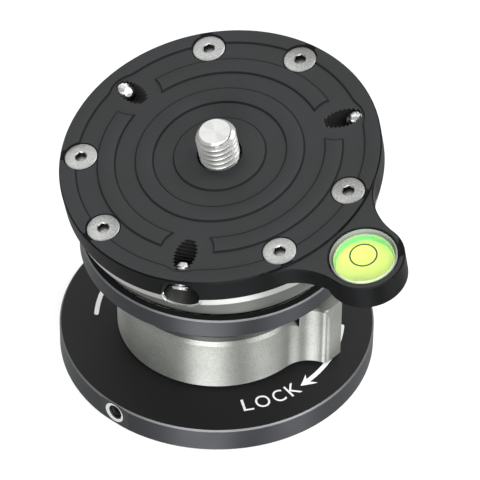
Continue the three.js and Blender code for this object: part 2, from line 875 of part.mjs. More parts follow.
// Set screw on its slanted axis, with a blunt cone at the end that bites and a hexagon socket in
// the other.
function makeSetScrew(i) {
  const outer = setScrewTip + setScrewLength;
  const body = turned(
    [
      [0, setScrewTip],
      [setScrewRadius - setScrewCone, setScrewTip],
      [setScrewRadius, setScrewTip + setScrewCone],
      [setScrewRadius, outer],
      [0, outer],
    ],
    smallSteps,
  );
  const socket = hexPrism(setScrewKey, outer - setScrewKeyDepth, outer + overrun);
  return slanted(body.subtract(socket), slotAngle(i));
}

// Bubble level: a clear case open below, the liquid in it and a disc that backs it.
const levelBottom = earTop - earBossHeight + levelFloor;
const levelBackTop = levelBottom + levelGap + levelBackHeight;

function makeLevelCase() {
  const top = earTop + levelProud;
  const inner = levelRadius - levelWall;
  const bottom = levelBackTop + levelGap;
  const body = turned(
    [
      [inner, bottom],
      [levelRadius, bottom],
      [levelRadius, top - levelProud],
      [levelRadius - levelProud, top],
      [0, top],
      [0, top - levelLens],
      [inner, top - levelLens],
    ],
    innerSteps,
  );
  return round(body, 0, earCircle);
}

function makeLevelLiquid() {
  const top = earTop + levelProud - levelLens - levelGap;
  const radius = levelRadius - levelWall - levelGap;
  return round(disc(radius, levelBackTop + levelGap, top, innerSteps), 0, earCircle);
}

function makeLevelBack() {
  return round(disc(levelRadius, levelBottom + levelGap, levelBackTop, innerSteps), 0, earCircle);
}

piece(model, "base_flange", makeBaseFlange(), blackAnodised);
piece(model, "tripod_insert", makeTripodInsert(), brass);
piece(model, "base_edge_screw", makeEdgeScrew(), steel);
piece(model, "socket_cup", makeSocketCup(), blackAnodised);
for (let i = 0; i < socketScrewCount; i += 1) {
  const azimuth = socketScrewAzimuth + (360 / socketScrewCount) * i;
  const screw = flipped(countersunkScrew(socketScrewLength));
  const body = round(screw, azimuth, socketScrewCircle, screwHeadSunk);
  piece(model, "socket_screw_" + (i + 1), body, steel);
}
piece(model, "ring_slip_washer", makeSlipWasher(), blackAcetal);
piece(model, "lock_ring", makeLockRing(), blastedSilver);
piece(model, "drive_pin", makeDrivePin(), steel);
piece(model, "draw_bolt", makeDrawBolt(), steel);
piece(model, "release_spring", makeReleaseSpring(), steel);
piece(model, "clamp_dome", makeClampDome(), turnedSilver);
const clampWasher = band(boltRadius + runGap, washerRadius, domeBossTop, nutBottom, innerSteps);
piece(model, "clamp_washer", clampWasher, steel);
piece(model, "clamp_nut", makeClampNut(), steel);
piece(model, "seat_ring", makeSeatRing(), acetal);

piece(leaned, "bowl_liner", makeBowlLiner(), blackAcetal);
piece(leaned, "bowl", makeBowl(), turnedSilver);
piece(leaned, "top_plate", makeTopPlate(), plateBlack);
plateScrewAzimuths().forEach((azimuth, i) => {
  const height = plateTop - screwHeadSunk;
  const body = round(countersunkScrew(plateScrewLength), azimuth, plateScrewCircle, height);
  piece(leaned, "plate_screw_" + (i + 1), body, stainless);
});
piece(leaned, "camera_screw", makeCameraScrew(), stainless);
piece(leaned, "camera_screw_retainer", makeStudRetainer(), brass);
for (let i = 0; i < slotCount; i += 1) {
  piece(leaned, "set_screw_" + (i + 1), makeSetScrew(i), stainless);
}
piece(leaned, "level_case", makeLevelCase(), acrylic);
piece(leaned, "level_liquid", makeLevelLiquid(), levelFluid);
piece(leaned, "level_back", makeLevelBack(), levelFluid);

export default model;
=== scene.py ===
# %% [markdown]
# # Half-bowl leveling base
# A round flange screws onto a tripod. A half ball sits in a socket on it, and a ring with a lever
# clamps the ball. A camera plate with a bubble level is screwed on the half ball.
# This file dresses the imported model: each cell makes one piece or one finish, in millimetres,
# and lays it where the model has it.

# %% Load the frame
import math

import bmesh
import bpy
from mathutils import Matrix, Vector


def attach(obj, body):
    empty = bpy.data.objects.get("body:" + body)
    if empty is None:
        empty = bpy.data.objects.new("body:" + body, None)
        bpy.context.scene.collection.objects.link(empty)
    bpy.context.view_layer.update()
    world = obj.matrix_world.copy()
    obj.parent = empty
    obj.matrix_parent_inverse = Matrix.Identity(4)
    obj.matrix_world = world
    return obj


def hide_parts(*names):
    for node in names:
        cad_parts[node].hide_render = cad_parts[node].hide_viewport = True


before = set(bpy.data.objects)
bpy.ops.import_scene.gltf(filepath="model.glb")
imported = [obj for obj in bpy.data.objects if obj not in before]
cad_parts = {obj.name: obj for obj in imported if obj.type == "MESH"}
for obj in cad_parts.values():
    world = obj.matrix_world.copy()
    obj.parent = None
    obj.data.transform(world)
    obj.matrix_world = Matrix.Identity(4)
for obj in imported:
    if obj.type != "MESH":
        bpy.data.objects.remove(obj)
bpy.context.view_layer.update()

# %% [markdown]
# ## Lengths and places
# Blender works in metres, and the drawing works in millimetres, so one factor joins them.
# The plate and the half ball lean about a pivot above the base. They are made level, with the
# pivot at height zero, and then one matrix leans them. Three slots and six screws lie round the
# plate, so their azimuths are written once. A turned shape has so many steps round its axis that
# its chords don't show: 240 on the large edges and fewer on small ones.

# %% Units, the lean and the azimuths
MM = 0.001
LARGE, FINE = 240, 180
PIVOT, LEAN_ANGLE = 61.396, 11.77
LEAN = Matrix.Translation((0, 0, PIVOT * MM)) @ Matrix.Rotation(math.radians(LEAN_ANGLE), 4, "X")
SLOT_AZIMUTHS = (60, 180, 300)
SCREW_SPREAD = 40
SCREW_AZIMUTHS = [azimuth + side * SCREW_SPREAD for azimuth in SLOT_AZIMUTHS for side in (-1, 1)]


def polar(radius, azimuth, height=0.0):
    angle = math.radians(azimuth)
    return (radius * math.cos(angle), radius * math.sin(angle), height)


def arc(x, y, radius, start, end, steps):
    turns = [start + (end - start) * i / steps for i in range(steps + 1)]
    return [(x + polar(radius, turn)[0], y + polar(radius, turn)[1]) for turn in turns]


# %% [markdown]
# ## Turned and milled shapes
# Most of this object came off a lathe, so a profile turned about Z makes most pieces. The profile
# carries the small chamfers, because they are what catches the light on a machined edge.
# Modifiers such as Screw and Bevel could do the same, but a chamfer written in the profile has an
# exact width and leaves no thin faces.

# %% Mesh helpers
def weld(made):
    shape = bmesh.new()
    shape.from_mesh(made.data)
    bmesh.ops.remove_doubles(shape, verts=shape.verts, dist=1e-6)
    bmesh.ops.recalc_face_normals(shape, faces=shape.faces)
    shape.to_mesh(made.data)
    shape.free()
    return made


def mesh_object(name, points, faces):
    mesh = bpy.data.meshes.new(name)
    mesh.from_pydata([Vector(point) * MM for point in points], [], faces)
    made = bpy.data.objects.new(name, mesh)
    bpy.context.collection.objects.link(made)
    return weld(made)


def turned(name, profile, steps=FINE):
    count = len(profile)
    points = [polar(r, 360 * step / steps, z) for step in range(steps) for r, z in profile]
    faces = []
    for step in range(steps):
        here, there = step * count, (step + 1) % steps * count
        for i in range(count):
            j = (i + 1) % count
            if profile[i][0] > 1e-6 or profile[j][0] > 1e-6:
                faces.append((here + i, there + i, there + j, here + j))
    return mesh_object(name, points, faces)


def inset(outline, distance):
    moved = []
    for i, (x, y) in enumerate(outline):
        before, after = Vector(outline[i - 1]), Vector(outline[(i + 1) % len(outline)])
        here = Vector((x, y))
        one, two = (here - before).normalized(), (after - here).normalized()
        along = (one + two).normalized()
        share = max(along.dot(one), 0.3)
        moved.append((x - along.y * distance / share, y + along.x * distance / share))
    return moved


def prism(name, outline, low, high, chamfer=0.0):
    levels = [(0.0, low), (0.0, high)]
    if chamfer:
        levels = [(chamfer, low), (0.0, low + chamfer), (0.0, high - chamfer), (chamfer, high)]
    count = len(outline)
    points = []
    for distance, height in levels:
        points += [(x, y, height) for x, y in inset(outline, distance)]
    faces = [tuple(reversed(range(count))), tuple(range(len(points) - count, len(points)))]
    for level in range(len(levels) - 1):
        for i in range(count):
            j = (i + 1) % count
            low_i, high_i = level * count, (level + 1) * count
            faces.append((low_i + i, low_i + j, high_i + j, high_i + i))
    return mesh_object(name, points, faces)


def placed(made, *matrices):
    for matrix in matrices:
        made.data.transform(matrix)
    return made


def moved_to(x, y, z):
    return Matrix.Translation((x * MM, y * MM, z * MM))


def turn(angle, axis="Z"):
    return Matrix.Rotation(math.radians(angle), 4, axis)


# %% [markdown]
# ## Cutting and joining
# Holes, scoops and slots are cut with the Boolean modifier. Its Manifold solver needs closed
# shapes and is fast enough for whole threads. The result is kept as a plain mesh, so nothing stays
# live on a finished piece.

# %% Boolean helper
def combine(target, tools, operation="DIFFERENCE"):
    for tool in tools:
        modifier = target.modifiers.new("tool", "BOOLEAN")
        modifier.operation = operation
        modifier.solver = "MANIFOLD"
        modifier.object = tool
    graph = bpy.context.evaluated_depsgraph_get()
    mesh = bpy.data.meshes.new_from_object(target.evaluated_get(graph))
    target.modifiers.clear()
    target.data = mesh
    for tool in tools:
        bpy.data.objects.remove(tool)
    return weld(target)


# %% [markdown]
# ## Nodes
# Materials and Geometry Nodes trees are both built of nodes, and one small function adds any node
# with its settings and its links. Colours are written as on screen and turned to linear light.

# %% Node and colour helpers
def add(tree, kind, inputs=None, **settings):
    node = tree.nodes.new(kind)
    for name, value in settings.items():
        setattr(node, name, value)
    for socket, value in (inputs or {}).items():
        if isinstance(value, bpy.types.Node):
            value = value.outputs[0]
        if isinstance(value, bpy.types.NodeSocket):
            tree.links.new(value, node.inputs[socket])
        else:
            node.inputs[socket].default_value = value
    return node


def linear(code):
    parts = [int(code[i : i + 2], 16) / 255 for i in (1, 3, 5)]
    return tuple(p / 12.92 if p <= 0.04045 else ((p + 0.055) / 1.055) ** 2.4 for p in parts) + (1.0,)


# %% [markdown]
# ## Metal finishes
# Anodised and blasted aluminium have a fine grain that spreads the light evenly. The grain comes
# from Noise on Object coordinates, whose scale is one over the grain's size in metres. Real grain
# here is about 0.05 mm, too fine for the picture, so it is drawn at 0.3 mm. A second, slow noise
# of 14 mm varies colour and roughness a little, as handling does.
# Turned metal keeps the thin grooves that the cutting edge left round the axis. The value groove
# is their distance: noise along the height of the UV map "rings" draws them. They also stretch a
# reflection across them, and the value stretch is the shader's anisotropy for that, turned along
# the same map. Blasting on top of turning hides the grooves and keeps some of the stretch.
# A black, blasted surface swallows part of what it mirrors, so its shine is lower than usual.

# %% Metal material
CLOUD = 14
GROOVE_SHARE = 0.2
ROUGH_SPREAD = 0.03


def metal(
    name,
    light,
    dark,
    roughness,
    metallic=1.0,
    grain=0.3,
    depth=0.01,
    groove=0.0,
    stretch=0.0,
    shine=0.5,
):
    made = bpy.data.materials.new(name)
    made.use_nodes = True
    tree = made.node_tree
    shader = tree.nodes["Principled BSDF"]
    place = add(tree, "ShaderNodeTexCoord").outputs["Object"]
    noise = add(tree, "ShaderNodeTexNoise", {"Vector": place, "Scale": 1 / (grain * MM), "Detail": 3.0})
    cloud = add(tree, "ShaderNodeTexNoise", {"Vector": place, "Scale": 1 / (CLOUD * MM), "Detail": 2.0})
    if stretch:
        tangent = add(tree, "ShaderNodeTangent", direction_type="UV_MAP", uv_map="rings")
        tree.links.new(tangent.outputs[0], shader.inputs["Tangent"])
        shader.inputs["Anisotropic"].default_value = stretch
        shader.inputs["Anisotropic Rotation"].default_value = 0.25
    if groove:
        ring_map = add(tree, "ShaderNodeUVMap", uv_map="rings")
        size = (GROOVE_SHARE, 1 / (groove * MM), 1.0)
        level = add(tree, "ShaderNodeMapping", {"Vector": ring_map, "Scale": size})
        noise = add(tree, "ShaderNodeTexNoise", {"Vector": level, "Scale": 1.0, "Detail": 2.0})
        noise.noise_dimensions = "2D"
    blend = add(tree, "ShaderNodeMath", {0: noise, 1: cloud}, operation="ADD")
    share = add(tree, "ShaderNodeMapRange", {"Value": blend, "From Min": 0.75, "From Max": 1.25})
    colour = add(tree, "ShaderNodeMix", {"Factor": share}, data_type="RGBA")
    tree.links.new(colour.outputs["Result"], shader.inputs["Base Color"])
    for socket, code in zip([one for one in colour.inputs if one.type == "RGBA"], (dark, light)):
        socket.default_value = linear(code)
    span = {"To Min": roughness - ROUGH_SPREAD, "To Max": roughness + ROUGH_SPREAD}
    rough = add(tree, "ShaderNodeMapRange", {"Value": cloud, "From Min": 0.3, "From Max": 0.7, **span})
    tree.links.new(rough.outputs[0], shader.inputs["Roughness"])
    bump = add(tree, "ShaderNodeBump", {"Height": noise, "Strength": 0.35, "Distance": depth * MM})
    tree.links.new(bump.outputs[0], shader.inputs["Normal"])
    shader.inputs["Metallic"].default_value = metallic
    shader.inputs["Specular IOR Level"].default_value = shine
    print("finish", name, "goes from", dark, "to", light)
    return made


# %% [markdown]
# ## The finishes of this object
# - Black anodised aluminium, blasted first: a dull, even black on the plate and the flange. The
#   walls of slots, holes and relief lines are painted near black, as painted shade.
# - Black anodised aluminium, turned first: the flange's edge and the collar shine more. Their
#   chamfers are painted paler, as painted highlight. The plate's rim is the same metal, painted a
#   deeper black as painted shade.
# - Blasted aluminium: the lock ring's fine silver.
# - Turned aluminium: the half ball. The land below the plate and the lips of its scoops are painted
#   brighter, as painted highlight. The inside of the scoops is painted dark, as painted shade.
# - Bare aluminium: the freshly cut mouth of the edge hole, and the dome inside.
# - Stainless steel: turned on the end of the camera screw and on the set screws, rolled on the
#   camera screw's thread, and forged on the screw heads, with hexagons painted dark as painted
#   shade.
# - Plain steel and brass: the pieces inside.

# %% Metals
coarse = {"depth": 0.004, "groove": 0.15, "stretch": 0.9}
smooth = {"depth": 0.004, "groove": 0.12, "stretch": 0.9}
bright = {"depth": 0.004, "groove": 0.1, "stretch": 0.8}
plate_black = metal("anodised_plate", "#212224", "#181919", 0.66, 0.05, depth=0.014, shine=0.3)
# Near black for walls and deep places: painted shade.
black_painted_shade = metal("anodised_black_painted_shade", "#040404", "#020202", 0.8, 0.0, depth=0.006, shine=0.2)
base_black = metal("anodised_blasted", "#0f1010", "#0b0b0b", 0.6, 0.1, depth=0.012, shine=0.25)
edge_black = metal("anodised_turned", "#444548", "#3a3b3d", 0.5, **coarse)
# Paler anodising for the top chamfers: painted highlight.
chamfer_painted_highlight = metal("anodised_chamfer_painted_highlight", "#6b6c6e", "#5d5e60", 0.45, depth=0.004)
# Deeper black for the plate's side: painted shade.
rim_painted_shade = metal("anodised_rim_painted_shade", "#0d0e0f", "#0a0b0c", 0.5, 0.9, **coarse)
silver_blasted = metal("aluminium_blasted", "#999b97", "#7b7d78", 0.5, grain=0.32, depth=0.03, stretch=0.9)
# Brighter aluminium for the land and the scoop lips: painted highlight.
land_painted_highlight = metal("aluminium_faced_painted_highlight", "#aaaba9", "#9d9e9c", 0.36, **smooth)
ball_turned = metal("aluminium_turned", "#666865", "#5b5d5a", 0.42, **smooth)
silver_bare = metal("aluminium_bare", "#d6d7d5", "#c9cac8", 0.3)
# Dark aluminium inside the scoops and holes: painted shade.
silver_painted_shade = metal("aluminium_painted_shade", "#2a2b2a", "#212221", 0.5)
steel_bright = metal("stainless_turned", "#b2b3b1", "#a1a2a0", 0.34, **bright)
steel_head = metal("stainless_forged", "#9a9b99", "#6c6d6b", 0.42, grain=0.35, depth=0.03)
steel_rolled = metal("stainless_rolled", "#a0a19f", "#828381", 0.4, depth=0.006)
# Dark steel inside the hexagon sockets: painted shade.
steel_painted_shade = metal("stainless_painted_shade", "#343534", "#262726", 0.35)
steel_plain = metal("steel_plain", "#96999b", "#84878a", 0.38)
brass_yellow = metal("brass_turned", "#c09a55", "#a9843f", 0.36)

# %% [markdown]
# ## Plastics, ink and the bubble level
# The seat ring is white acetal and the ball's lining is black acetal, which look waxy. The ink is
# a thin white print. The level's case is clear acrylic: its lens lets almost all light through,
# and its wall, seen through more acrylic, is a little milky. The liquid is dyed a bright
# yellow-green, and looks a deeper green on its side, where the eye looks through more of it.
# Plastic needs the same nodes as metal, so it is made by the same function without the metal.

# %% Plastic material
def plastic(name, light, dark, roughness, grain=0.5, depth=0.01, **sockets):
    made = metal(name, light, dark, roughness, 0.0, grain, depth)
    shader = made.node_tree.nodes["Principled BSDF"]
    for socket, value in sockets.items():
        shader.inputs[socket.replace("_", " ")].default_value = value
    return made


acetal_white = plastic("acetal_white", "#ebe9e1", "#e2dfd5", 0.5)
acetal_black = plastic("acetal_black", "#232425", "#1b1c1d", 0.5)
ink_white = plastic("ink_white", "#ececec", "#dfdfdf", 0.6, depth=0.004)
lens_clear = plastic("acrylic_lens", "#f4fbe0", "#eef7d2", 0.06, depth=0.0, Alpha=0.08)
wall_clear = plastic("acrylic_wall", "#dde6e2", "#d2dcd7", 0.1, depth=0.0, Alpha=0.32)
liquid_green = plastic("level_liquid", "#dcf25a", "#d4ee44", 0.25, depth=0.0)
liquid_deep = plastic("level_liquid_deep", "#3fbf5c", "#35ad52", 0.25, depth=0.0)
back_green = plastic("level_back", "#9fb52c", "#93a824", 0.5)
line_black = plastic("level_line", "#15180c", "#101308", 0.5)


# %% [markdown]
# ## Handing a piece to the frame
# A finished piece is shaded smooth except where two faces meet at a clear angle. Then it rides on
# its body and stands for its nodes of the model.

# %% Finish helper
def ring_map(made):
    layer = made.data.uv_layers.get("rings") or made.data.uv_layers.new(name="rings")
    for face in made.data.polygons:
        middle = math.atan2(face.center.y, face.center.x)
        for loop in face.loop_indices:
            spot = made.data.vertices[made.data.loops[loop].vertex_index].co
            away = math.hypot(spot.x, spot.y)
            angle = math.atan2(spot.y, spot.x) if away > 1e-6 else middle
            angle = middle + (angle - middle + math.pi) % (2 * math.pi) - math.pi
            level = spot.z if abs(face.normal.z) < 0.3 else away + spot.z
            layer.data[loop].uv = (angle / (2 * math.pi), level)
    return made


def finish(made, materials, pick=None, angle=28):
    mesh = made.data
    mesh.materials.clear()
    for one in materials:
        mesh.materials.append(one)
    for face in mesh.polygons:
        face.material_index = pick(face.center / MM, face.normal) if pick else 0
    mesh.shade_smooth()
    mesh.set_sharp_from_angle(angle=math.radians(angle))
    return made


def hand_over(made, body, slot, *nodes):
    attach(made, body)
    if nodes:
        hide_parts(*nodes)
    print(made.name, "has", len(made.data.polygons), "faces")
    return made


# %% [markdown]
# ## Threaded rod
# A thread is a rule: the surface runs round the axis and climbs one pitch a turn. Geometry Nodes
# bend a flat grid into it. Along the grid's X the points go round, along its Y they climb, and a
# zigzag of the height makes crest and root: a share of each turn is crest, and the flanks are the
# steeper, the larger their factor. Rows beyond the ends close into the middle. A screw modifier
# could do this too, but its ends stay open and can't be cut. A rod is given by the two radii of its
# crest and root, its pitch, its length and the chamfers at its two ends.

# %% Named inputs of a tree
def open_tree(name, sockets):
    tree = bpy.data.node_groups.new(name, "GeometryNodeTree")
    inputs = {}
    for label, kind in sockets.items():
        made = tree.interface.new_socket(name=label, in_out="INPUT", socket_type="NodeSocket" + kind)
        inputs[label] = made.identifier
    tree.interface.new_socket(name="Geometry", in_out="OUTPUT", socket_type="NodeSocketGeometry")
    return tree, inputs


# %% Threaded rod tree
ROWS_A_TURN = 8
CREST_SHARE, FLANK_FACTOR = 0.75, 1.6
rod_sizes = ("Major", "Minor", "Pitch", "Length", "Start Chamfer", "End Chamfer")
rod_sockets = {label: "Float" for label in rod_sizes} | {"Columns": "Int", "Finish": "Material"}
rod_tree, rod_inputs = open_tree("threaded rod", rod_sockets)

given = add(rod_tree, "NodeGroupInput").outputs
pitches = add(rod_tree, "ShaderNodeMath", {0: given["Length"], 1: given["Pitch"]}, operation="DIVIDE")
whole = add(rod_tree, "ShaderNodeMath", {0: pitches}, operation="CEIL")
turns = add(rod_tree, "ShaderNodeMath", {0: whole, 1: 4.0}, operation="ADD")
rows = add(rod_tree, "ShaderNodeMath", {0: turns, 1: ROWS_A_TURN, 2: 1.0}, operation="MULTIPLY_ADD")
columns = add(rod_tree, "ShaderNodeMath", {0: given["Columns"], 1: 1.0}, operation="ADD")
counts = {"Vertices X": columns, "Vertices Y": rows}
grid = add(rod_tree, "GeometryNodeMeshGrid", {"Size X": 1.0, "Size Y": 1.0, **counts})
flat = add(rod_tree, "ShaderNodeSeparateXYZ", {0: add(rod_tree, "GeometryNodeInputPosition")}).outputs
around = add(rod_tree, "ShaderNodeMath", {0: flat[0], 1: 0.5}, operation="ADD")
upward = add(rod_tree, "ShaderNodeMath", {0: flat[1], 1: 0.5}, operation="ADD")
climb = add(rod_tree, "ShaderNodeMath", {0: upward, 1: turns}, operation="MULTIPLY")
helix = add(rod_tree, "ShaderNodeMath", {0: climb, 1: around}, operation="ADD")
lowered = add(rod_tree, "ShaderNodeMath", {0: helix, 1: 2.0}, operation="SUBTRACT")
raw = add(rod_tree, "ShaderNodeMath", {0: lowered, 1: given["Pitch"]}, operation="MULTIPLY")
height = add(rod_tree, "ShaderNodeClamp", {"Value": raw, "Min": 0.0, "Max": given["Length"]})
phase = add(rod_tree, "ShaderNodeMath", {0: climb}, operation="FRACT")
saw = add(rod_tree, "ShaderNodeMath", {0: phase, 1: 2.0, 2: -1.0}, operation="MULTIPLY_ADD")
ramp = add(rod_tree, "ShaderNodeMath", {0: saw}, operation="ABSOLUTE")
flank = add(rod_tree, "ShaderNodeMath", {0: CREST_SHARE, 1: ramp}, operation="SUBTRACT")
steep = {0: flank, 1: FLANK_FACTOR}
crest = add(rod_tree, "ShaderNodeMath", steep, operation="MULTIPLY", use_clamp=True)
depth = add(rod_tree, "ShaderNodeMath", {0: given["Major"], 1: given["Minor"]}, operation="SUBTRACT")
thread = add(rod_tree, "ShaderNodeMath", {0: depth, 1: crest, 2: given["Minor"]}, operation="MULTIPLY_ADD")
first = add(rod_tree, "ShaderNodeMath", {0: given["Major"], 1: given["Start Chamfer"]}, operation="SUBTRACT")
start = add(rod_tree, "ShaderNodeMath", {0: first, 1: height}, operation="ADD")
last = add(rod_tree, "ShaderNodeMath", {0: given["Major"], 1: given["End Chamfer"]}, operation="SUBTRACT")
left = add(rod_tree, "ShaderNodeMath", {0: given["Length"], 1: height}, operation="SUBTRACT")
end = add(rod_tree, "ShaderNodeMath", {0: last, 1: left}, operation="ADD")
ends = add(rod_tree, "ShaderNodeMath", {0: start, 1: end}, operation="MINIMUM")
radius = add(rod_tree, "ShaderNodeMath", {0: thread, 1: ends}, operation="MINIMUM")
past = add(rod_tree, "ShaderNodeMath", {0: raw, 1: height}, operation="SUBTRACT")
away = add(rod_tree, "ShaderNodeMath", {0: past}, operation="ABSOLUTE")
one_row = {0: given["Pitch"], 1: 1.001 / ROWS_A_TURN}
row = add(rod_tree, "ShaderNodeMath", one_row, operation="MULTIPLY")
kept = add(rod_tree, "ShaderNodeMath", {0: away, 1: row}, operation="LESS_THAN")
reach = add(rod_tree, "ShaderNodeMath", {0: radius, 1: kept}, operation="MULTIPLY")
angle = add(rod_tree, "ShaderNodeMath", {0: around, 1: 2 * math.pi}, operation="MULTIPLY")
cosine = add(rod_tree, "ShaderNodeMath", {0: angle}, operation="COSINE")
sine = add(rod_tree, "ShaderNodeMath", {0: angle}, operation="SINE")
east = add(rod_tree, "ShaderNodeMath", {0: reach, 1: cosine}, operation="MULTIPLY")
north = add(rod_tree, "ShaderNodeMath", {0: reach, 1: sine}, operation="MULTIPLY")
spot = add(rod_tree, "ShaderNodeCombineXYZ", {0: east, 1: north, 2: height})
bent = add(rod_tree, "GeometryNodeSetPosition", {"Geometry": grid.outputs["Mesh"], "Position": spot})
closed = add(rod_tree, "GeometryNodeMergeByDistance", {"Geometry": bent, "Distance": 2e-6})
real = add(rod_tree, "GeometryNodeRealizeInstances", {"Geometry": closed})
coated = add(rod_tree, "GeometryNodeSetMaterial", {"Geometry": real, "Material": given["Finish"]})
add(rod_tree, "NodeGroupOutput", {"Geometry": coated})
print("threaded rod tree has", len(rod_tree.nodes), "nodes")


# %% Threaded rod as a mesh
def evaluated(made, name, tree, values):
    modifier = made.modifiers.new(name, "NODES")
    modifier.node_group = tree
    for identifier, value in values.items():
        modifier[identifier] = value
    bpy.context.view_layer.update()
    graph = bpy.context.evaluated_depsgraph_get()
    mesh = bpy.data.meshes.new_from_object(made.evaluated_get(graph))
    mesh.name = name
    made.modifiers.clear()
    made.data = mesh
    return weld(made)


def rod(name, coat, radii, pitch, length, ends, columns):
    made = bpy.data.objects.new(name, bpy.data.meshes.new(name))
    bpy.context.collection.objects.link(made)
    sizes = (*radii, pitch, length, *ends)
    values = {rod_inputs[label]: size * MM for label, size in zip(rod_sizes, sizes)}
    values[rod_inputs["Columns"]] = columns
    values[rod_inputs["Finish"]] = coat
    return evaluated(made, name, rod_tree, values)


# %% [markdown]
# ## Base flange
# The flange is a disc faced and chamfered on the lathe, blasted on top and left turned on its
# edge. Three countersunk holes take the socket's screws from below, and a small milled flat on the
# edge has a tapped hole for a lock screw. The same threaded rod cuts that hole's thread.

# %% Flange
BASE_RADIUS, BASE_TOP = 37.5, 6.35
FLAT_AZIMUTH, FLAT_LEVEL = -84, 37.26
MOUTH_FOOT, MOUTH_INNER, MOUTH_OUTER = 36.91, 1.85, 4.14
EDGE_HOLE_FOOT = 28.2
INSERT_RADIUS, INSERT_REACH, INSERT_STEP, INSERT_GAP = 7, 8.5, 4.35, 0.3
SOCKET_BOLT_CIRCLE, SOCKET_BOLT_AZIMUTH = 12.5, 15


def hexagon(flats, low, high):
    return prism("hexagon", arc(0, 0, flats / math.sqrt(3), 0, 300, 5), low, high)


def countersink(length):
    bore, head, under = 2.3, 4.1, 0.5
    cone = head - bore + under
    hole = [(0, -length), (bore, -length), (bore, -cone), (head, -under), (head, 1), (0, 1)]
    return turned("countersink", hole, 64)


def socket_places():
    return [turn(SOCKET_BOLT_AZIMUTH + 120 * i) @ moved_to(SOCKET_BOLT_CIRCLE, 0, 0) for i in range(3)]


base = turned(
    "flange",
    [
        (0, 0),
        (BASE_RADIUS - 0.2, 0),
        (BASE_RADIUS, 0.2),
        (BASE_RADIUS, BASE_TOP - 0.37),
        (BASE_RADIUS - 0.37, BASE_TOP),
        (0, BASE_TOP),
    ],
    LARGE,
)
to_edge = turn(FLAT_AZIMUTH) @ moved_to(0, 0, BASE_TOP / 2) @ turn(90, "Y")
flat_tool = prism("flat", [(FLAT_LEVEL, -30), (40, -30), (40, 30), (FLAT_LEVEL, 30)], -1, 8)
edge_thread = rod(
    "edge_thread", base_black, radii=(2.05, 1.75), pitch=0.7, length=11, ends=(0.3, 0.3), columns=32
)
mouth_top = MOUTH_FOOT + 1
edge_mouth = [(0, MOUTH_FOOT), (MOUTH_INNER, MOUTH_FOOT), (MOUTH_OUTER, mouth_top), (0, mouth_top)]
narrow, wide = INSERT_RADIUS + INSERT_GAP, INSERT_REACH + INSERT_GAP
seat = [(0, -1), (narrow, -1), (narrow, INSERT_STEP), (wide, INSERT_STEP), (wide, 8), (0, 8)]
tools = [
    turned("insert_seat", seat, 96),
    placed(flat_tool, turn(FLAT_AZIMUTH)),
    placed(edge_thread, moved_to(0, 0, EDGE_HOLE_FOOT), to_edge),
    placed(turned("edge_mouth", edge_mouth, 64), to_edge),
]
for place in socket_places():
    tools.append(placed(countersink(8), turn(180, "X"), place))
combine(base, tools)


def base_finish(centre, normal):
    outward = Vector(polar(1, FLAT_AZIMUTH))
    along = centre.dot(outward)
    off = (centre - outward * along - Vector((0, 0, BASE_TOP / 2))).length
    if abs(along - FLAT_LEVEL) < 0.01:
        return 3
    if along > 20 and off < 2.75:
        return 2 if along > MOUTH_FOOT + 0.04 else 0
    if math.hypot(centre.x, centre.y) < BASE_RADIUS - 0.5 or centre.z < 0.1:
        return 0
    # The top chamfer gets the paler finish: painted highlight.
    return 4 if normal.z > 0.3 else 1


ring_map(base)
finish(base, [base_black, edge_black, silver_bare, plate_black, chamfer_painted_highlight], pick=base_finish)
hand_over(base, "socket", "black_anodised", "base_flange")

# %% [markdown]
# ## Screw in the edge hole
# A short black set screw sits deep in the hole. Its hexagon is a dark spot in the bright mouth.

# %% Edge screw
EDGE_SCREW_RADIUS, EDGE_SCREW_FOOT, EDGE_SCREW_FACE = 1.55, 30.16, 36.16
edge_screw = turned(
    "edge_screw",
    [
        (0, EDGE_SCREW_FOOT),
        (EDGE_SCREW_RADIUS - 0.5, EDGE_SCREW_FOOT),
        (EDGE_SCREW_RADIUS, EDGE_SCREW_FOOT + 0.5),
        (EDGE_SCREW_RADIUS, EDGE_SCREW_FACE - 0.2),
        (EDGE_SCREW_RADIUS - 0.2, EDGE_SCREW_FACE),
        (0, EDGE_SCREW_FACE),
    ],
    48,
)
combine(edge_screw, [hexagon(1.5, EDGE_SCREW_FACE - 1.5, 37)])
placed(edge_screw, to_edge)
# The screw takes the near-black finish of painted shade, as it sits deep in the hole.
finish(edge_screw, [black_painted_shade])
hand_over(edge_screw, "socket", "plain_steel", "base_edge_screw")

# %% [markdown]
# ## Tripod insert
# The insert is a steel cup pressed between flange and socket, with the standard tripod thread,
# sixteen turns to the inch. The thread is cut with the same rod.

# %% Insert
INCH_PITCH = 25.4 / 16
INSERT_FOOT, INSERT_TOP, INSERT_BREAK = 0.2, 9.8, 0.3
insert = turned(
    "insert",
    [
        (0, INSERT_FOOT),
        (INSERT_RADIUS - INSERT_BREAK, INSERT_FOOT),
        (INSERT_RADIUS, INSERT_FOOT + INSERT_BREAK),
        (INSERT_RADIUS, INSERT_STEP),
        (INSERT_REACH, INSERT_STEP),
        (INSERT_REACH, BASE_TOP),
        (INSERT_RADIUS, BASE_TOP),
        (INSERT_RADIUS, INSERT_TOP - INSERT_BREAK),
        (INSERT_RADIUS - INSERT_BREAK, INSERT_TOP),
        (0, INSERT_TOP),
    ],
    96,
)
bore = rod(
    "insert_thread", steel_plain, radii=(4.9, 4.3), pitch=INCH_PITCH, length=9.6, ends=(0.6, 0.6), columns=48
)
placed(bore, moved_to(0, 0, -1))
mouth = turned("insert_mouth", [(0, -0.5), (5.6, -0.5), (4.3, 0.8), (0, 0.8)], 64)
combine(insert, [bore, mouth])
finish(insert, [steel_plain])
hand_over(insert, "socket", "stainless", "tripod_insert")
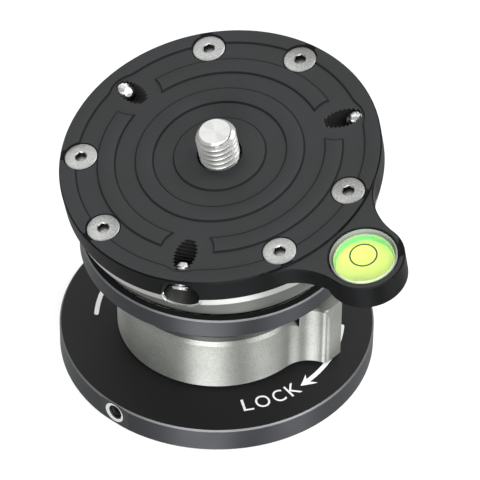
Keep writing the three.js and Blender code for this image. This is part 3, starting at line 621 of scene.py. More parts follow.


# %% [markdown]
# ## Countersunk screws
# Six M4 screws hold the plate on the half ball, and three hold the socket on the flange. All are
# the same: a flat head with a hexagon socket, whose mouth is cut a little conical, so it shines as
# a ring round the hexagon. On the plate's screws the hexagon is painted dark, as painted shade.
# One screw is made. Geometry Nodes set six of them round the plate in pairs beside the slots, each
# turned by its own random angle, as screws stop where they stop. Their heads lie a little below
# the plate's face.

# %% One screw
def screw(name):
    shank, head, under, length = 2, 3.8, 0.2, 11.6
    point = [(0, -length), (shank - 0.6, -length), (shank, 0.6 - length)]
    cone = [(shank, shank - head - under), (head, -under)]
    made = turned(name, [*point, *cone, (head, -0.14), (head - 0.3, 0), (0, 0)], 72)
    lead = turned("lead", [(0, -0.3), (1.2, -0.3), (1.56, 0.06), (1.56, 1), (0, 1)], 48)
    return ring_map(combine(made, [hexagon(2.5, -1.4, 1), lead]))


# %% Screw circle tree
circle_sockets = {
    "Geometry": "Geometry",
    "Radius": "Float",
    "Height": "Float",
    "First": "Float",
    "Spread": "Float",
    "Pairs": "Int",
    "Seed": "Int",
    "Finish": "Material",
}
circle_tree, circle_inputs = open_tree("screw circle", circle_sockets)

given = add(circle_tree, "NodeGroupInput").outputs
count = add(circle_tree, "ShaderNodeMath", {0: given["Pairs"], 1: 2.0}, operation="MULTIPLY")
number = add(circle_tree, "GeometryNodeInputIndex")
half = add(circle_tree, "ShaderNodeMath", {0: number, 1: 2.0}, operation="DIVIDE")
pair = add(circle_tree, "ShaderNodeMath", {0: half}, operation="FLOOR")
odd = add(circle_tree, "ShaderNodeMath", {0: number, 1: 2.0}, operation="MODULO")
side = add(circle_tree, "ShaderNodeMath", {0: odd, 1: 2.0, 2: -1.0}, operation="MULTIPLY_ADD")
share = add(circle_tree, "ShaderNodeMath", {0: 2 * math.pi, 1: given["Pairs"]}, operation="DIVIDE")
past_first = {0: pair, 1: share, 2: given["First"]}
middle = add(circle_tree, "ShaderNodeMath", past_first, operation="MULTIPLY_ADD")
past_middle = {0: side, 1: given["Spread"], 2: middle}
azimuth = add(circle_tree, "ShaderNodeMath", past_middle, operation="MULTIPLY_ADD")
cosine = add(circle_tree, "ShaderNodeMath", {0: azimuth}, operation="COSINE")
sine = add(circle_tree, "ShaderNodeMath", {0: azimuth}, operation="SINE")
east = add(circle_tree, "ShaderNodeMath", {0: given["Radius"], 1: cosine}, operation="MULTIPLY")
north = add(circle_tree, "ShaderNodeMath", {0: given["Radius"], 1: sine}, operation="MULTIPLY")
spot = add(circle_tree, "ShaderNodeCombineXYZ", {0: east, 1: north, 2: given["Height"]})
points = add(circle_tree, "GeometryNodePoints", {"Count": count, "Position": spot})
chance = add(circle_tree, "FunctionNodeRandomValue", {"Seed": given["Seed"]}, data_type="FLOAT")
spin = add(circle_tree, "ShaderNodeMath", {0: chance.outputs[1], 1: 2 * math.pi}, operation="MULTIPLY")
upright = add(circle_tree, "ShaderNodeCombineXYZ", {2: spin})
rotation = add(circle_tree, "FunctionNodeEulerToRotation", {0: upright})
copies = add(
    circle_tree,
    "GeometryNodeInstanceOnPoints",
    {"Points": points, "Instance": given["Geometry"], "Rotation": rotation},
)
real = add(circle_tree, "GeometryNodeRealizeInstances", {"Geometry": copies})
coated = add(circle_tree, "GeometryNodeSetMaterial", {"Geometry": real, "Material": given["Finish"]})
add(circle_tree, "NodeGroupOutput", {"Geometry": coated})
print("screw circle tree has", len(circle_tree.nodes), "nodes")

# %% Plate screws
SCREW_CIRCLE, SCREW_HEIGHT = 32.6, -2.62
circle_values = {
    "Radius": SCREW_CIRCLE * MM,
    "Height": SCREW_HEIGHT * MM,
    "First": math.radians(SLOT_AZIMUTHS[0]),
    "Spread": math.radians(SCREW_SPREAD),
    "Pairs": len(SLOT_AZIMUTHS),
    "Seed": 5,
    "Finish": steel_head,
}
plate_screws = screw("plate_screws")
named = {circle_inputs[label]: value for label, value in circle_values.items()}
evaluated(plate_screws, "plate_screws", circle_tree, named)


def hex_painted_shade(centre, normal):
    places = [polar(SCREW_CIRCLE, azimuth)[:2] for azimuth in SCREW_AZIMUTHS]
    off = min(math.dist(centre[:2], place) for place in places)
    # Faces deep in the hexagon get the dark steel: painted shade.
    return 1 if off < 1.5 and centre.z < SCREW_HEIGHT - 0.08 and normal.z < 0.5 else 0


finish(plate_screws, [steel_head, steel_painted_shade], pick=hex_painted_shade)
placed(plate_screws, LEAN)
hand_over(plate_screws, "bowl", "stainless", *[f"plate_screw_{i}" for i in range(1, 7)])

# %% Socket screws
for i, place in enumerate(socket_places(), 1):
    one = placed(screw(f"socket_bolt_{i}"), turn(180, "X"), moved_to(0, 0, 0.1), place)
    finish(one, [steel_bright])
    hand_over(one, "socket", "stainless", f"socket_screw_{i}")

# %% [markdown]
# ## Socket
# The socket is one black turned piece: a sleeve inside the lock ring, a neck and a cup whose
# collar stands round the half ball. Its inside is a sphere about the pivot, with a groove for the
# seat ring. The sleeve has a cross slot that guides the clamp's pin.

# %% Socket cup
SLEEVE_BORE, SLEEVE_RADIUS = 8, 17
NECK_RADIUS, NECK_FOOT = 22.2, 21.5
CUP_RADIUS, CUP_FOOT = 38.896, 20.1
COLLAR_RADIUS, COLLAR_TOP = 32.25, 36.95
PIN_HEIGHT, PIN_AZIMUTH = 15.5, 105


def sphere_arc(radius, start, end, steps, centre=0.0):
    return arc(0, centre, radius, start - 90, end - 90, steps)


socket = turned(
    "socket",
    [
        (SLEEVE_BORE, BASE_TOP),
        (SLEEVE_RADIUS, BASE_TOP),
        (SLEEVE_RADIUS, NECK_FOOT),
        (NECK_RADIUS - 0.3, NECK_FOOT),
        (NECK_RADIUS, NECK_FOOT + 0.3),
        (NECK_RADIUS, 24.3),
        (COLLAR_RADIUS - 1.2, COLLAR_TOP - 6.05),
        (COLLAR_RADIUS - 0.3, COLLAR_TOP - 5.15),
        (COLLAR_RADIUS, COLLAR_TOP - 4.7),
        (COLLAR_RADIUS, COLLAR_TOP - 0.35),
        (COLLAR_RADIUS - 0.35, COLLAR_TOP),
        *sphere_arc(CUP_RADIUS, 51.06, 49.44, 3, PIVOT),
        *sphere_arc(CUP_RADIUS + 1.5, 49.44, 38.56, 12, PIVOT),
        *sphere_arc(CUP_RADIUS, 38.56, 6.35, 30, PIVOT),
        (4.3, CUP_FOOT),
        (SLEEVE_BORE, CUP_FOOT),
    ],
    LARGE,
)
tools = []
for place in socket_places():
    hole = turned("hole", [(0, 5), (2.3, 5), (2.3, 11.4), (0, 12.6)], 48)
    tools.append(placed(hole, place))
slot_outline = arc(0, 1.6, 2.3, 0, 180, 16) + arc(0, -0.4, 2.3, 180, 360, 16)
slot_tool = prism("pin_slot", [(-y, x) for x, y in slot_outline], -19, 19)
tools.append(placed(slot_tool, turn(90, "Y"), moved_to(0, 0, PIN_HEIGHT), turn(PIN_AZIMUTH)))
combine(socket, tools)


def socket_finish(centre, normal):
    away = math.hypot(centre.x, centre.y)
    if away < COLLAR_RADIUS - 0.5 or centre.z < 31:
        return 0
    # The collar's top faces get the paler finish: painted highlight.
    return 2 if normal.z > 0.3 else 1


ring_map(socket)
finish(socket, [base_black, edge_black, chamfer_painted_highlight], pick=socket_finish)
hand_over(socket, "socket", "black_anodised", "socket_cup")

# %% [markdown]
# ## Lock ring
# The ring is blasted silver aluminium. Its lever has a hollow for the finger, a flat end and a
# straight back. The lever stands 2.7 mm higher than the ring, its edges are chamfered, and its end
# slopes outward at the top. A V-shaped cut, turned round the ring's axis, parts the lever's top
# from the ring's. Two cam grooves inside lift and lower the cross pin. The outline is drawn from
# arcs that touch each other, as a milling cutter would leave them.

# %% Ring and lever
RING_RADIUS, RING_LOW, RING_TOP = 23.7, 6.65, 21.2
RING_BORE, RING_CHAMFER = SLEEVE_RADIUS + 0.3, 0.6
WASHER_RECESS, WASHER_TOP = 20.6, 7.65
LEVER_REACH, LEVER_TOP, LEVER_AZIMUTH = 29.9, 23.9, 4.2


def lever_outline():
    hollow, corner, far_corner, back = 7.6, 1.8, 0.9, 6.0
    hollow_azimuth, back_slant, end_width = -4.3, 67.5, 5.5
    hollow_x, hollow_y, _ = polar(RING_RADIUS + hollow, hollow_azimuth)
    near_y = hollow_y + math.sqrt(hollow**2 - (hollow_x - LEVER_REACH) ** 2)
    end_x = LEVER_REACH - corner
    corner_y = hollow_y + math.sqrt((hollow + corner) ** 2 - (hollow_x - end_x) ** 2)
    near = math.degrees(math.atan2(corner_y - hollow_y, end_x - hollow_x))
    far_end_x = LEVER_REACH - far_corner
    cosine, sine, _ = polar(1, back_slant)
    level = LEVER_REACH * cosine + (near_y + end_width) * sine
    far_y = (level - far_corner - far_end_x * cosine) / sine
    back_azimuth = back_slant - math.degrees(math.acos((level + back) / (RING_RADIUS + back)))
    back_x, back_y, _ = polar(RING_RADIUS + back, back_azimuth)
    return [
        *arc(0, 0, 21, back_azimuth, hollow_azimuth, 16),
        *arc(hollow_x, hollow_y, hollow, hollow_azimuth + 180, near, 28)[:-1],
        *arc(end_x, corner_y, corner, near - 180, 0, 8),
        *arc(far_end_x, far_y, far_corner, 0, back_slant, 8),
        *arc(back_x, back_y, back, back_slant - 180, back_azimuth - 180, 10),
    ]


ring = turned(
    "clamp_ring",
    [
        (WASHER_RECESS, RING_LOW),
        (RING_RADIUS - 0.5, RING_LOW),
        (RING_RADIUS, RING_LOW + 0.5),
        (RING_RADIUS, RING_TOP - 1.0),
        (RING_RADIUS - RING_CHAMFER, RING_TOP),
        (RING_BORE, RING_TOP),
        (RING_BORE, WASHER_TOP),
        (WASHER_RECESS, WASHER_TOP),
    ],
    LARGE,
)
lever = prism("lever", lever_outline(), RING_LOW, LEVER_TOP, 0.45)
slope_foot, slope_top = (LEVER_REACH, LEVER_TOP - 3.2), (LEVER_REACH - 0.5, LEVER_TOP)
slope_outline = [slope_top, slope_foot, (40, slope_foot[1]), (40, 40), (slope_top[0], 40)]
slope = placed(prism("slope", slope_outline, -40, 40), turn(90, "X"))
cut_edge = (RING_RADIUS - RING_CHAMFER, RING_TOP)
cut = turned("cut", [(0, RING_TOP), cut_edge, (24.6, 18.6), (24.6, 30), (0, 30)], LARGE)
combine(lever, [slope, cut])
placed(lever, turn(LEVER_AZIMUTH))
combine(ring, [lever], "UNION")


def cam_groove(azimuth):
    outline = arc(0, 0, 20.8, -107.8, 37.8, 48) + arc(0, 0, 16, 37.8, -107.8, 48)
    made = prism("groove", outline, PIN_HEIGHT - 2.3, PIN_HEIGHT + 2.3)
    climb = 0.3
    for point in made.data.vertices:
        point.co.z -= climb * MM * math.atan2(point.co.y, point.co.x)
    return placed(made, turn(azimuth))


combine(ring, [cam_groove(PIN_AZIMUTH), cam_groove(PIN_AZIMUTH + 180)])
ring_map(ring)
finish(ring, [silver_blasted])
hand_over(ring, "lock_ring", "blasted_aluminium", "lock_ring")

# %% [markdown]
# ## Half ball
# The bowl is turned aluminium: a straight land below the plate, painted bright as a painted
# highlight, and a sphere about the pivot below that. It is open on top and has a round hole in the
# bottom. The three slanted holes of the anti-twist screws end in scoops that open its side, and
# their inside is painted dark as painted shade. Round each scoop a narrow lip is turned 0.3 mm
# deep, and it is painted bright as a painted highlight too.

# %% Bowl
BALL, BOWL_WALL = 38.496, 4.5
LAND_RADIUS, BOWL_TOP = 36.45, -9.2
PLATE_TOP, PLATE_BOTTOM = -2.3, -8.9
SLOT_CIRCLE, SLOT_SLANT = 29, 124
SCOOP_RADIUS, LIP_RADIUS, LIP_DEPTH = 4.7, 5.35, 0.3


def slot_axis(azimuth):
    return turn(azimuth) @ moved_to(SLOT_CIRCLE, 0, PLATE_TOP) @ turn(SLOT_SLANT, "Y")


def slot_cutter(name, radius, azimuth):
    made = turned(name, [(0, 7.5), (radius, 7.5), (radius, 30), (0, 30)], 96)
    return placed(made, slot_axis(azimuth))


def scoop(azimuth):
    return slot_cutter("scoop", SCOOP_RADIUS, azimuth)


bowl = turned(
    "half_ball",
    [
        *sphere_arc(BALL, 21.75, 72.93, 48),
        (LAND_RADIUS, BOWL_TOP - 0.3),
        (LAND_RADIUS - 0.3, BOWL_TOP),
        (29.9, BOWL_TOP),
        *sphere_arc(BALL - BOWL_WALL, 61.5, 24.8, 30),
    ],
    LARGE,
)
core_profile = [(0, -40), *sphere_arc(BALL - LIP_DEPTH, 1, 73, 24), (LAND_RADIUS, -5), (0, -5)]
core = turned("core", core_profile, FINE)
tools = []
for azimuth in SLOT_AZIMUTHS:
    lip = slot_cutter("lip", LIP_RADIUS, azimuth)
    inner = core.copy()
    inner.data = core.data.copy()
    bpy.context.collection.objects.link(inner)
    tools += [combine(lip, [inner]), scoop(azimuth)]
bpy.data.objects.remove(core)
for azimuth in SCREW_AZIMUTHS:
    hole = turned("hole", [(0, -15.6), (2.3, -14.3), (2.3, -7), (0, -7)], 48)
    tools.append(placed(hole, moved_to(*polar(SCREW_CIRCLE, azimuth))))
combine(bowl, tools)
slot_frames = [slot_axis(azimuth).inverted() for azimuth in SLOT_AZIMUTHS]


def bowl_finish(centre, normal):
    if centre.z < -31 or math.hypot(centre.x, centre.y) < 28 and centre.length < 37.5:
        return 0
    local = [frame_in @ (centre * MM) for frame_in in slot_frames]
    off = min(math.hypot(spot.x, spot.y) for spot in local) / MM
    # Scoop walls get the dark finish: painted shade.
    if abs(off - SCOOP_RADIUS) < 0.06 and centre.length > 34:
        return 1
    # Lips and the land get the brighter finish: painted highlight.
    if off < LIP_RADIUS + 0.05 and normal.dot(centre.normalized()) > 0.7:
        return 2
    if centre.z > -11.5 and centre.length > 36:
        return 2
    # Faces inside the wall, such as the screw holes, also get the painted shade.
    return 0 if centre.length > 37.9 or centre.length < 34.2 else 1


ring_map(bowl)
finish(bowl, [ball_turned, silver_painted_shade, land_painted_highlight], pick=bowl_finish)
placed(bowl, LEAN)
hand_over(bowl, "bowl", "turned_aluminium", "bowl")

# %% [markdown]
# ## Camera plate
# The plate is a turned disc with an ear for the bubble level, blasted and anodised black. Its face
# has three shallow lowered rings, and round clearings join the outer one to the three slots. The
# lands between them carry the camera. Blasting wears an edge, so the walls of the relief are steep
# at the foot and sloped above. The walls are painted darker than the face, as painted shade. The
# slanted holes are threaded, and their ridges show in the slots.

# %% Plate outline and relief
PLATE_RADIUS = 37.5
RELIEF_DEPTH, EDGE_DEPTH = 0.35, 0.14
OUTER_RELIEF, MIDDLE_RELIEF, INNER_RELIEF = (28.7, 33.4), (19.8, 24.25), (10.9, 15.35)
EAR_CIRCLE, EAR_RADIUS, EAR_TOP, EAR_BOTTOM = 46.3, 9.4, -2.8, -7.9


def ear_outline():
    flare, overlap = 15.5, 4
    reach, span = PLATE_RADIUS + flare, EAR_RADIUS + flare
    cosine = (reach**2 + EAR_CIRCLE**2 - span**2) / (2 * reach * EAR_CIRCLE)
    flare_angle = math.degrees(math.acos(cosine))
    x, y, _ = polar(reach, flare_angle)
    end_angle = math.degrees(math.atan2(y, x - EAR_CIRCLE))
    return [
        *arc(0, 0, PLATE_RADIUS - overlap, flare_angle, -flare_angle, 12),
        *arc(x, -y, flare, 180 - flare_angle, 180 - end_angle, 32),
        *arc(EAR_CIRCLE, 0, EAR_RADIUS, -end_angle, end_angle, 80)[1:-1],
        *arc(x, y, flare, end_angle - 180, flare_angle - 180, 32),
    ]


def relief_edge(azimuth, radius):
    bulge, half_width = 0.85, 8
    away = abs((azimuth + 360) % 120 - 60)
    share = (1 + math.cos(math.pi * away / half_width)) / 2 if away < half_width else 0
    return radius + bulge * share


def relief_ring(inner, outer):
    steep, wide = 0.05, 0.36
    floor, edge = PLATE_TOP - RELIEF_DEPTH, PLATE_TOP - EDGE_DEPTH
    outside = [(outer, floor), (outer + steep, edge), (outer + wide, PLATE_TOP), (outer + wide, 0)]
    inside = [(inner - wide, 0), (inner - wide, PLATE_TOP), (inner - steep, edge), (inner, floor)]
    return turned("relief", outside + inside, FINE)


def outer_relief():
    inner, outer = OUTER_RELIEF
    made = relief_ring(inner, outer)
    for point in made.data.vertices:
        flat = Vector((point.co.x, point.co.y))
        if flat.length > (inner + outer) / 2 * MM:
            azimuth = math.degrees(math.atan2(flat.y, flat.x))
            grown = flat * relief_edge(azimuth, outer) / outer
            point.co.x, point.co.y = grown
    return made


# %% Plate body
BOSS_RADIUS, BOSS_FOOT = 13, -12.4
STUD_HEAD, STUD_HEAD_TOP, STUD_GAP = 8.5, -7.1, 0.3
STUD_HOLE, POCKET, MOUTH_BREAK = 5.06, 8, 0.25
SLOT_PITCH, CLEARING_CIRCLE, CLEARING = 0.8, 28.3, 6.1
plate = turned(
    "camera_plate",
    [
        (0, BOSS_FOOT),
        (BOSS_RADIUS - 0.3, BOSS_FOOT),
        (BOSS_RADIUS, BOSS_FOOT + 0.3),
        (BOSS_RADIUS, PLATE_BOTTOM),
        (PLATE_RADIUS - 0.35, PLATE_BOTTOM),
        (PLATE_RADIUS, PLATE_BOTTOM + 0.35),
        (PLATE_RADIUS, PLATE_TOP - 0.32),
        (PLATE_RADIUS - 0.32, PLATE_TOP),
        (0, PLATE_TOP),
    ],
    LARGE,
)
ear = prism("ear", ear_outline(), EAR_BOTTOM, EAR_TOP, 0.32)
boss_rim = [(EAR_RADIUS - 0.3, -10), (EAR_RADIUS, -9.7), (EAR_RADIUS, -7)]
ear_boss = turned("ear_boss", [(0, -10), *boss_rim, (0, -7)], 120)
combine(plate, [ear, placed(ear_boss, moved_to(EAR_CIRCLE, 0, 0))], "UNION")


def broken_mouth(radius, face):
    wide = radius + MOUTH_BREAK
    return [(radius, face - MOUTH_BREAK), (wide, face), (wide, 0), (0, 0)]


pocket = turned("pocket", [(0, -9), (POCKET, -9), *broken_mouth(POCKET, EAR_TOP)], 120)
head_bore, head_seat = STUD_HEAD + STUD_GAP, STUD_HEAD_TOP + STUD_GAP
stud_bore = [(0, -14), (head_bore, -14), (head_bore, head_seat), (STUD_HOLE, head_seat)]
tools = [
    placed(pocket, moved_to(EAR_CIRCLE, 0, 0)),
    turned("stud_bore", stud_bore + broken_mouth(STUD_HOLE, PLATE_TOP), 120),
    outer_relief(),
    relief_ring(*MIDDLE_RELIEF),
    relief_ring(*INNER_RELIEF),
]
for azimuth in SCREW_AZIMUTHS:
    tools.append(placed(countersink(7), moved_to(*polar(SCREW_CIRCLE, azimuth, PLATE_TOP))))
clearing_floor = PLATE_TOP - RELIEF_DEPTH
steep, wide = CLEARING + 0.06, CLEARING + 0.3
clearing_edge = [(CLEARING, clearing_floor), (steep, PLATE_TOP - 0.06), (wide, PLATE_TOP), (wide, 0)]
for azimuth in SLOT_AZIMUTHS:
    clearing = turned("clearing", [(0, clearing_floor), *clearing_edge, (0, 0)], 96)
    tools.append(placed(clearing, moved_to(*polar(CLEARING_CIRCLE, azimuth))))
    thread = rod(
        "slot_thread", black_painted_shade, radii=(2.7, 2.3), pitch=SLOT_PITCH, length=22, ends=(0.5, 0.5), columns=40
    )
    tools.append(placed(thread, moved_to(0, 0, -13.5), slot_axis(azimuth)))
    tools.append(scoop(azimuth))
combine(plate, tools)


def plate_finish(centre, normal):
    away = math.hypot(centre.x, centre.y)
    to_ear = math.hypot(centre.x - EAR_CIRCLE, centre.y)
    # The rim's side gets the deeper black: painted shade.
    if away > PLATE_RADIUS - 0.8 and centre.z > PLATE_BOTTOM - 0.1 and to_ear > 8.5:
        return 2
    # Walls of the relief, slots and holes get the near black: painted shade.
    if normal.z < 0.985 and centre.z > -8:
        return 1
    return 0


ring_map(plate)
finish(plate, [plate_black, black_painted_shade, rim_painted_shade], pick=plate_finish)
placed(plate, LEAN)
hand_over(plate, "bowl", "plate_anodised", "top_plate")

# %% [markdown]
# ## Camera screw
# A headed stainless screw stands up through the plate, with sixteen turns to the inch. Its thread
# is rolled, and its end is turned flat with a wide chamfer, so the end is the brighter of the two.

# %% Stud
HEAD_FOOT, SHANK_FOOT, TURNED_FROM = -10.5, -7.6, 4.6
stud = turned(
    "stud",
    [
        (0, HEAD_FOOT),
        (STUD_HEAD - 0.55, HEAD_FOOT),
        (STUD_HEAD, HEAD_FOOT + 0.55),
        (STUD_HEAD, STUD_HEAD_TOP - 0.2),
        (STUD_HEAD - 0.2, STUD_HEAD_TOP),
        (0, STUD_HEAD_TOP),
    ],
    120,
)
shank = rod(
    "shank", steel_bright, radii=(4.76, 3.8), pitch=INCH_PITCH, length=13.3, ends=(0.9, 1.15), columns=64
)
combine(stud, [placed(shank, moved_to(0, 0, SHANK_FOOT))], "UNION")
combine(stud, [hexagon(6, HEAD_FOOT - 0.5, HEAD_FOOT + 2.4)])


def stud_finish(centre, normal):
    return 1 if centre.z > TURNED_FROM and normal.z > 0.5 else 0


ring_map(stud)
finish(stud, [steel_rolled, steel_bright], pick=stud_finish, angle=40)
placed(stud, LEAN)
hand_over(stud, "bowl", "stainless", "camera_screw")

# %% [markdown]
# ## Set screws
# Three short set screws in the slanted threads bite a camera's base from below. Each slides on
# its own axis, so each is a piece of its own body.

# %% Set screws
SET_POINT, SET_LENGTH, KEY_DEPTH = 2.4, 6.2, 1.8
set_sizes = {"radii": (2.2, 1.85), "pitch": SLOT_PITCH, "length": SET_LENGTH, "ends": (1.1, 0.5)}
key_foot = SET_POINT + SET_LENGTH - KEY_DEPTH
for i, azimuth in enumerate(SLOT_AZIMUTHS, 1):
    one = rod(f"anti_twist_screw_{i}", steel_bright, columns=40, **set_sizes)
    placed(one, moved_to(0, 0, SET_POINT))
    ring_map(combine(one, [hexagon(2, key_foot, 10)]))
    finish(one, [steel_bright], angle=40)
    placed(one, slot_axis(azimuth), LEAN)
    hand_over(one, f"set_screw_{i}", "stainless", f"set_screw_{i}")

# %% [markdown]
# ## Bubble level
# A clear cup turned upside down holds the dyed liquid, and a disc closes it from below. Rays that
# bend in the liquid could make its side look deeper, but they are slow and leave noise. Here the
# liquid has a rim that stands up round its face, and the inner side of that rim is the deeper
# green, which shows as a crescent. The circle that marks the middle is printed on the lens, so it
# is a thin ring of its own.

# %% Level
CASE_RADIUS, CASE_WALL = POCKET - 0.3, 0.7
CASE_TOP, CASE_FOOT, LENS = -2.6, -7.78, 1.1
IN_EAR = moved_to(EAR_CIRCLE, 0, 0)
level = turned(
    "level_glass",
    [
        (CASE_RADIUS - CASE_WALL, CASE_FOOT),
        (CASE_RADIUS, CASE_FOOT),
        (CASE_RADIUS, CASE_TOP - 0.35),
        (CASE_RADIUS - 0.35, CASE_TOP),
        (0, CASE_TOP),
        (0, CASE_TOP - LENS),
        (CASE_RADIUS - CASE_WALL, CASE_TOP - LENS),
    ],
    120,
)
placed(level, IN_EAR)


def level_finish(centre, normal):
    return 0 if math.hypot(centre.x - EAR_CIRCLE, centre.y) < CASE_RADIUS - 0.9 else 1


finish(level, [lens_clear, wall_clear], pick=level_finish)
placed(level, LEAN)
hand_over(level, "bowl", "clear_acrylic", "level_case")

# %% Liquid
liquid_rim = [(6.9, -7.4), (6.9, -4.1), (6.8, -4.1), (6.8, -5.5)]
liquid = turned("level_fill", [(0, -7.7), (6.6, -7.7), *liquid_rim, (6.6, -5.7), (0, -5.7)], 120)
placed(liquid, IN_EAR)


def liquid_finish(centre, normal):
    inward = normal.x * (centre.x - EAR_CIRCLE) + normal.y * centre.y < 0
    return 1 if inward and abs(normal.z) < 0.9 else 0


finish(liquid, [liquid_green, liquid_deep], pick=liquid_finish)
placed(liquid, LEAN)
hand_over(liquid, "bowl", "level_liquid", "level_liquid")

# %% Back and circle
back_edge = [(CASE_RADIUS, -8.68), (CASE_RADIUS, -8.1)]
back = turned("level_disc", [(0, -8.88), (7.5, -8.88), *back_edge, (7.5, -7.9), (0, -7.9)], 120)
placed(back, IN_EAR, LEAN)
finish(back, [back_green])
hand_over(back, "bowl", "level_back", "level_back")

inner, outer = 2.88, 3.22
low, high = CASE_TOP - 0.02, CASE_TOP + 0.03
mark = turned("level_circle", [(inner, low), (outer, low), (outer, high), (inner, high)], 96)
placed(mark, IN_EAR, LEAN)
finish(mark, [line_black])
hand_over(mark, "bowl", "black_acetal")

# %% [markdown]
# ## Lettering on the flange
# A word and an arrow show which way the lever locks, printed twice on the flange, about half a
# turn apart. The letters are Blender's own font, and each is set upright on the circle, with its
# foot outward. The arrow is drawn as a straight outline, cut into short steps and bent round the
# circle. Print is a thin layer, so both have a small thickness.

# %% Letters and arrow
INK = 0.03
LETTERS = (("L", -30.1, 2.5), ("O", -22.85, 3.5), ("C", -14.85, 2.8), ("K", -7.2, 2.95))
CAP_LOW, CAP_HIGH = 31.57, 27.9
ARROW_RADIUS, ARROW_START, ARROW_STEP = 29.95, -3, 1.2
MARK_PLACES = ((0, (0, 0)), (182.7, (0.84, 0.86)))


def letter(sign, azimuth, width):
    curve = bpy.data.curves.new(sign, "FONT")
    curve.body = sign
    curve.extrude = 0.1
    made = bpy.data.objects.new("letter_" + sign, curve)
    bpy.context.collection.objects.link(made)
    bpy.context.view_layer.update()
    graph = bpy.context.evaluated_depsgraph_get()
    mesh = bpy.data.meshes.new_from_object(made.evaluated_get(graph))
    bpy.data.objects.remove(made)
    made = weld(bpy.data.objects.new("letter_" + sign, mesh))
    bpy.context.collection.objects.link(made)
    low = [min(point.co[i] for point in mesh.vertices) for i in range(3)]
    high = [max(point.co[i] for point in mesh.vertices) for i in range(3)]
    wanted = (width, CAP_LOW - CAP_HIGH, INK)
    scale = Matrix.Diagonal([wanted[i] * MM / (high[i] - low[i]) for i in range(3)] + [1])
    middle = Matrix.Translation((-(high[0] + low[0]) / 2, -low[1], -low[2]))
    return placed(made, scale @ middle, moved_to(0, -CAP_LOW, BASE_TOP), turn(azimuth + 90))


def bent_arrow():
    half, tail, neck, barb = 0.55, 22.9, 2.55, 3.5
    round_end = arc(tail, 0, half, 90, -90, 8)
    outline = [(0, 0), (barb, 2.1), (neck, half), *round_end, (neck, -half), (barb, -1.75)]
    fine = []
    for i, (x, y) in enumerate(outline):
        after = outline[(i + 1) % len(outline)]
        steps = max(1, round(abs(after[0] - x) / ARROW_STEP))
        fine += [(x + (after[0] - x) * k / steps, y + (after[1] - y) * k / steps) for k in range(steps)]
    bent = [polar(ARROW_RADIUS + y, ARROW_START + math.degrees(x / ARROW_RADIUS))[:2] for x, y in fine]
    return prism("arrow", list(reversed(bent)), BASE_TOP, BASE_TOP + INK)


for i, (half_turn, shift) in enumerate(MARK_PLACES, 1):
    parts = [letter(*one) for one in LETTERS] + [bent_arrow()]
    with bpy.context.temp_override(active_object=parts[0], selected_editable_objects=parts):
        bpy.ops.object.join()
    word = parts[0]
    word.name = f"lock_mark_{i}"
    placed(word, turn(half_turn), moved_to(*shift, 0))
    finish(word, [ink_white])
    hand_over(word, "socket", "white_ink")

# %% [markdown]
# ## Pieces that keep their model
# The clamp's inner pieces are rightly shaped in the model. They only get the finishes.

# %% Finishes of the inner pieces
for node, coat in {
    "ring_slip_washer": acetal_white,
    "drive_pin": steel_plain,
    "draw_bolt": steel_plain,
    "release_spring": steel_plain,
    "clamp_dome": silver_bare,
    "clamp_washer": steel_plain,
    "clamp_nut": steel_plain,
    "bowl_liner": acetal_black,
    "seat_ring": acetal_white,
    "camera_screw_retainer": brass_yellow,
}.items():
    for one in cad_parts[node].material_slots:
        one.material = coat
    print(node, "is", coat.name)

# %% [markdown]
# ## Floor, light and camera
# The object stands on a plain white floor in soft light, as in a catalogue picture. The floor and
# the world show white to the camera, in mirrors and through glass, and the floor keeps the
# object's shadow. To all other rays the floor is a plain pale surface and the world a dim grey, so
# the white adds no light to the object. The camera stands about a metre away with a long lens,
# turned to the photograph's angle. The lamps are set by their angle from the camera.

# %% Floor
def white_rays(tree):
    path = add(tree, "ShaderNodeLightPath").outputs
    seen = path["Is Camera Ray"]
    for kind in ("Is Glossy Ray", "Is Transmission Ray"):
        seen = add(tree, "ShaderNodeMath", {0: seen, 1: path[kind]}, operation="MAXIMUM")
    return seen


far, under = 4000, -0.3
corners = [(far * x, far * y, under) for x, y in ((-1, -1), (1, -1), (1, 1), (-1, 1))]
floor = mesh_object("floor", corners, [(0, 1, 2, 3)])
floor_white = bpy.data.materials.new("floor_white")
floor_white.use_nodes = True
tree = floor_white.node_tree
tree.nodes.remove(tree.nodes["Principled BSDF"])
glow = add(tree, "ShaderNodeEmission", {"Color": linear("#ffffff"), "Strength": 0.72})
matte = add(tree, "ShaderNodeBsdfDiffuse", {"Color": (0.35, 0.35, 0.35, 1)})
white = add(tree, "ShaderNodeAddShader", {0: glow, 1: matte})
plain = add(tree, "ShaderNodeBsdfDiffuse", {"Color": (0.75, 0.75, 0.75, 1)})
mix = add(tree, "ShaderNodeMixShader", {0: white_rays(tree), 1: plain, 2: white})
tree.links.new(mix.outputs[0], tree.nodes["Material Output"].inputs["Surface"])
floor.data.materials.append(floor_white)
print("floor is", 2 * far, "mm wide")

# %% World and lamps
scene = bpy.context.scene
world = bpy.data.worlds.new("studio")
scene.world = world
world.use_nodes = True
tree = world.node_tree
dim = tree.nodes["Background"]
dim.inputs["Color"].default_value = (0.5, 0.5, 0.5, 1)
dim.inputs["Strength"].default_value = 0.2
white = add(tree, "ShaderNodeBackground", {"Color": (1, 1, 1, 1), "Strength": 1.0})
mix = add(tree, "ShaderNodeMixShader", {0: white_rays(tree), 1: dim, 2: white})
tree.links.new(mix.outputs[0], tree.nodes["World Output"].inputs["Surface"])

VIEW_AZIMUTH, OBJECT_MIDDLE = -44.3, 0.04
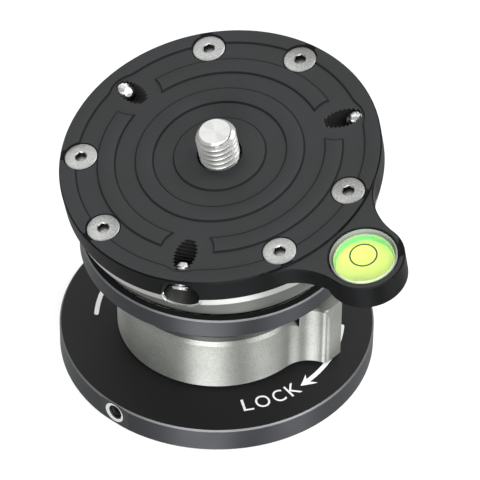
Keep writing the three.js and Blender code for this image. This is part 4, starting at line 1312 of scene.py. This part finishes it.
# Each lamp: its name, degrees beside the camera, degrees up, distance, width and height in metres,
# and power in watts.
LAMPS = (
    ("key_box", -8, 18, 1.1, 0.65, 0.5, 19),
    ("fill_box", 50, 20, 1.1, 0.5, 0.4, 9),
    ("right_back_box", 118, 54, 1.1, 0.4, 0.6, 6),
    ("left_back_box", -128, 60, 1.1, 0.4, 0.6, 1.5),
    ("top_box", -160, 60, 1.2, 1.3, 1.3, 3.6),
)


def softbox(name, aside, elevation, distance, width, height, power):
    data = bpy.data.lights.new(name, "AREA")
    data.shape = "RECTANGLE"
    data.size, data.size_y, data.energy = width, height, power
    lamp = bpy.data.objects.new(name, data)
    bpy.context.collection.objects.link(lamp)
    lift = math.radians(elevation)
    way = Vector(polar(math.cos(lift), VIEW_AZIMUTH + aside, math.sin(lift)))
    lamp.location = Vector((0, 0, OBJECT_MIDDLE)) + way * distance
    lamp.rotation_mode = "QUATERNION"
    lamp.rotation_quaternion = way.to_track_quat("Z", "Y")
    print(name, "gives", power, "watts from", elevation, "degrees up")


for lamp_sizes in LAMPS:
    softbox(*lamp_sizes)

# %% Camera
camera_data = bpy.data.cameras.new("camera")
camera_data.sensor_width = 36
camera_data.lens = 304.7
camera_data.clip_start, camera_data.clip_end = 0.05, 20
camera = bpy.data.objects.new("camera", camera_data)
bpy.context.collection.objects.link(camera)
stand, target = Vector((493.18, -481.28, 688.8)), Vector((3.699, 3.790, 31.985))
forward = (target - stand).normalized()
right = forward.cross(Vector((0, 0, 1))).normalized()
upward = right.cross(forward)
roll = math.radians(0.757)
tilted_right = right * math.cos(roll) + upward * math.sin(roll)
tilted_up = upward * math.cos(roll) - right * math.sin(roll)
camera.matrix_world = Matrix((
    (tilted_right.x, tilted_up.x, -forward.x, stand.x * MM),
    (tilted_right.y, tilted_up.y, -forward.y, stand.y * MM),
    (tilted_right.z, tilted_up.z, -forward.z, stand.z * MM),
    (0, 0, 0, 1),
))
scene.camera = camera
scene.view_settings.view_transform = "Standard"
print("camera is", round((target - stand).length), "mm away")
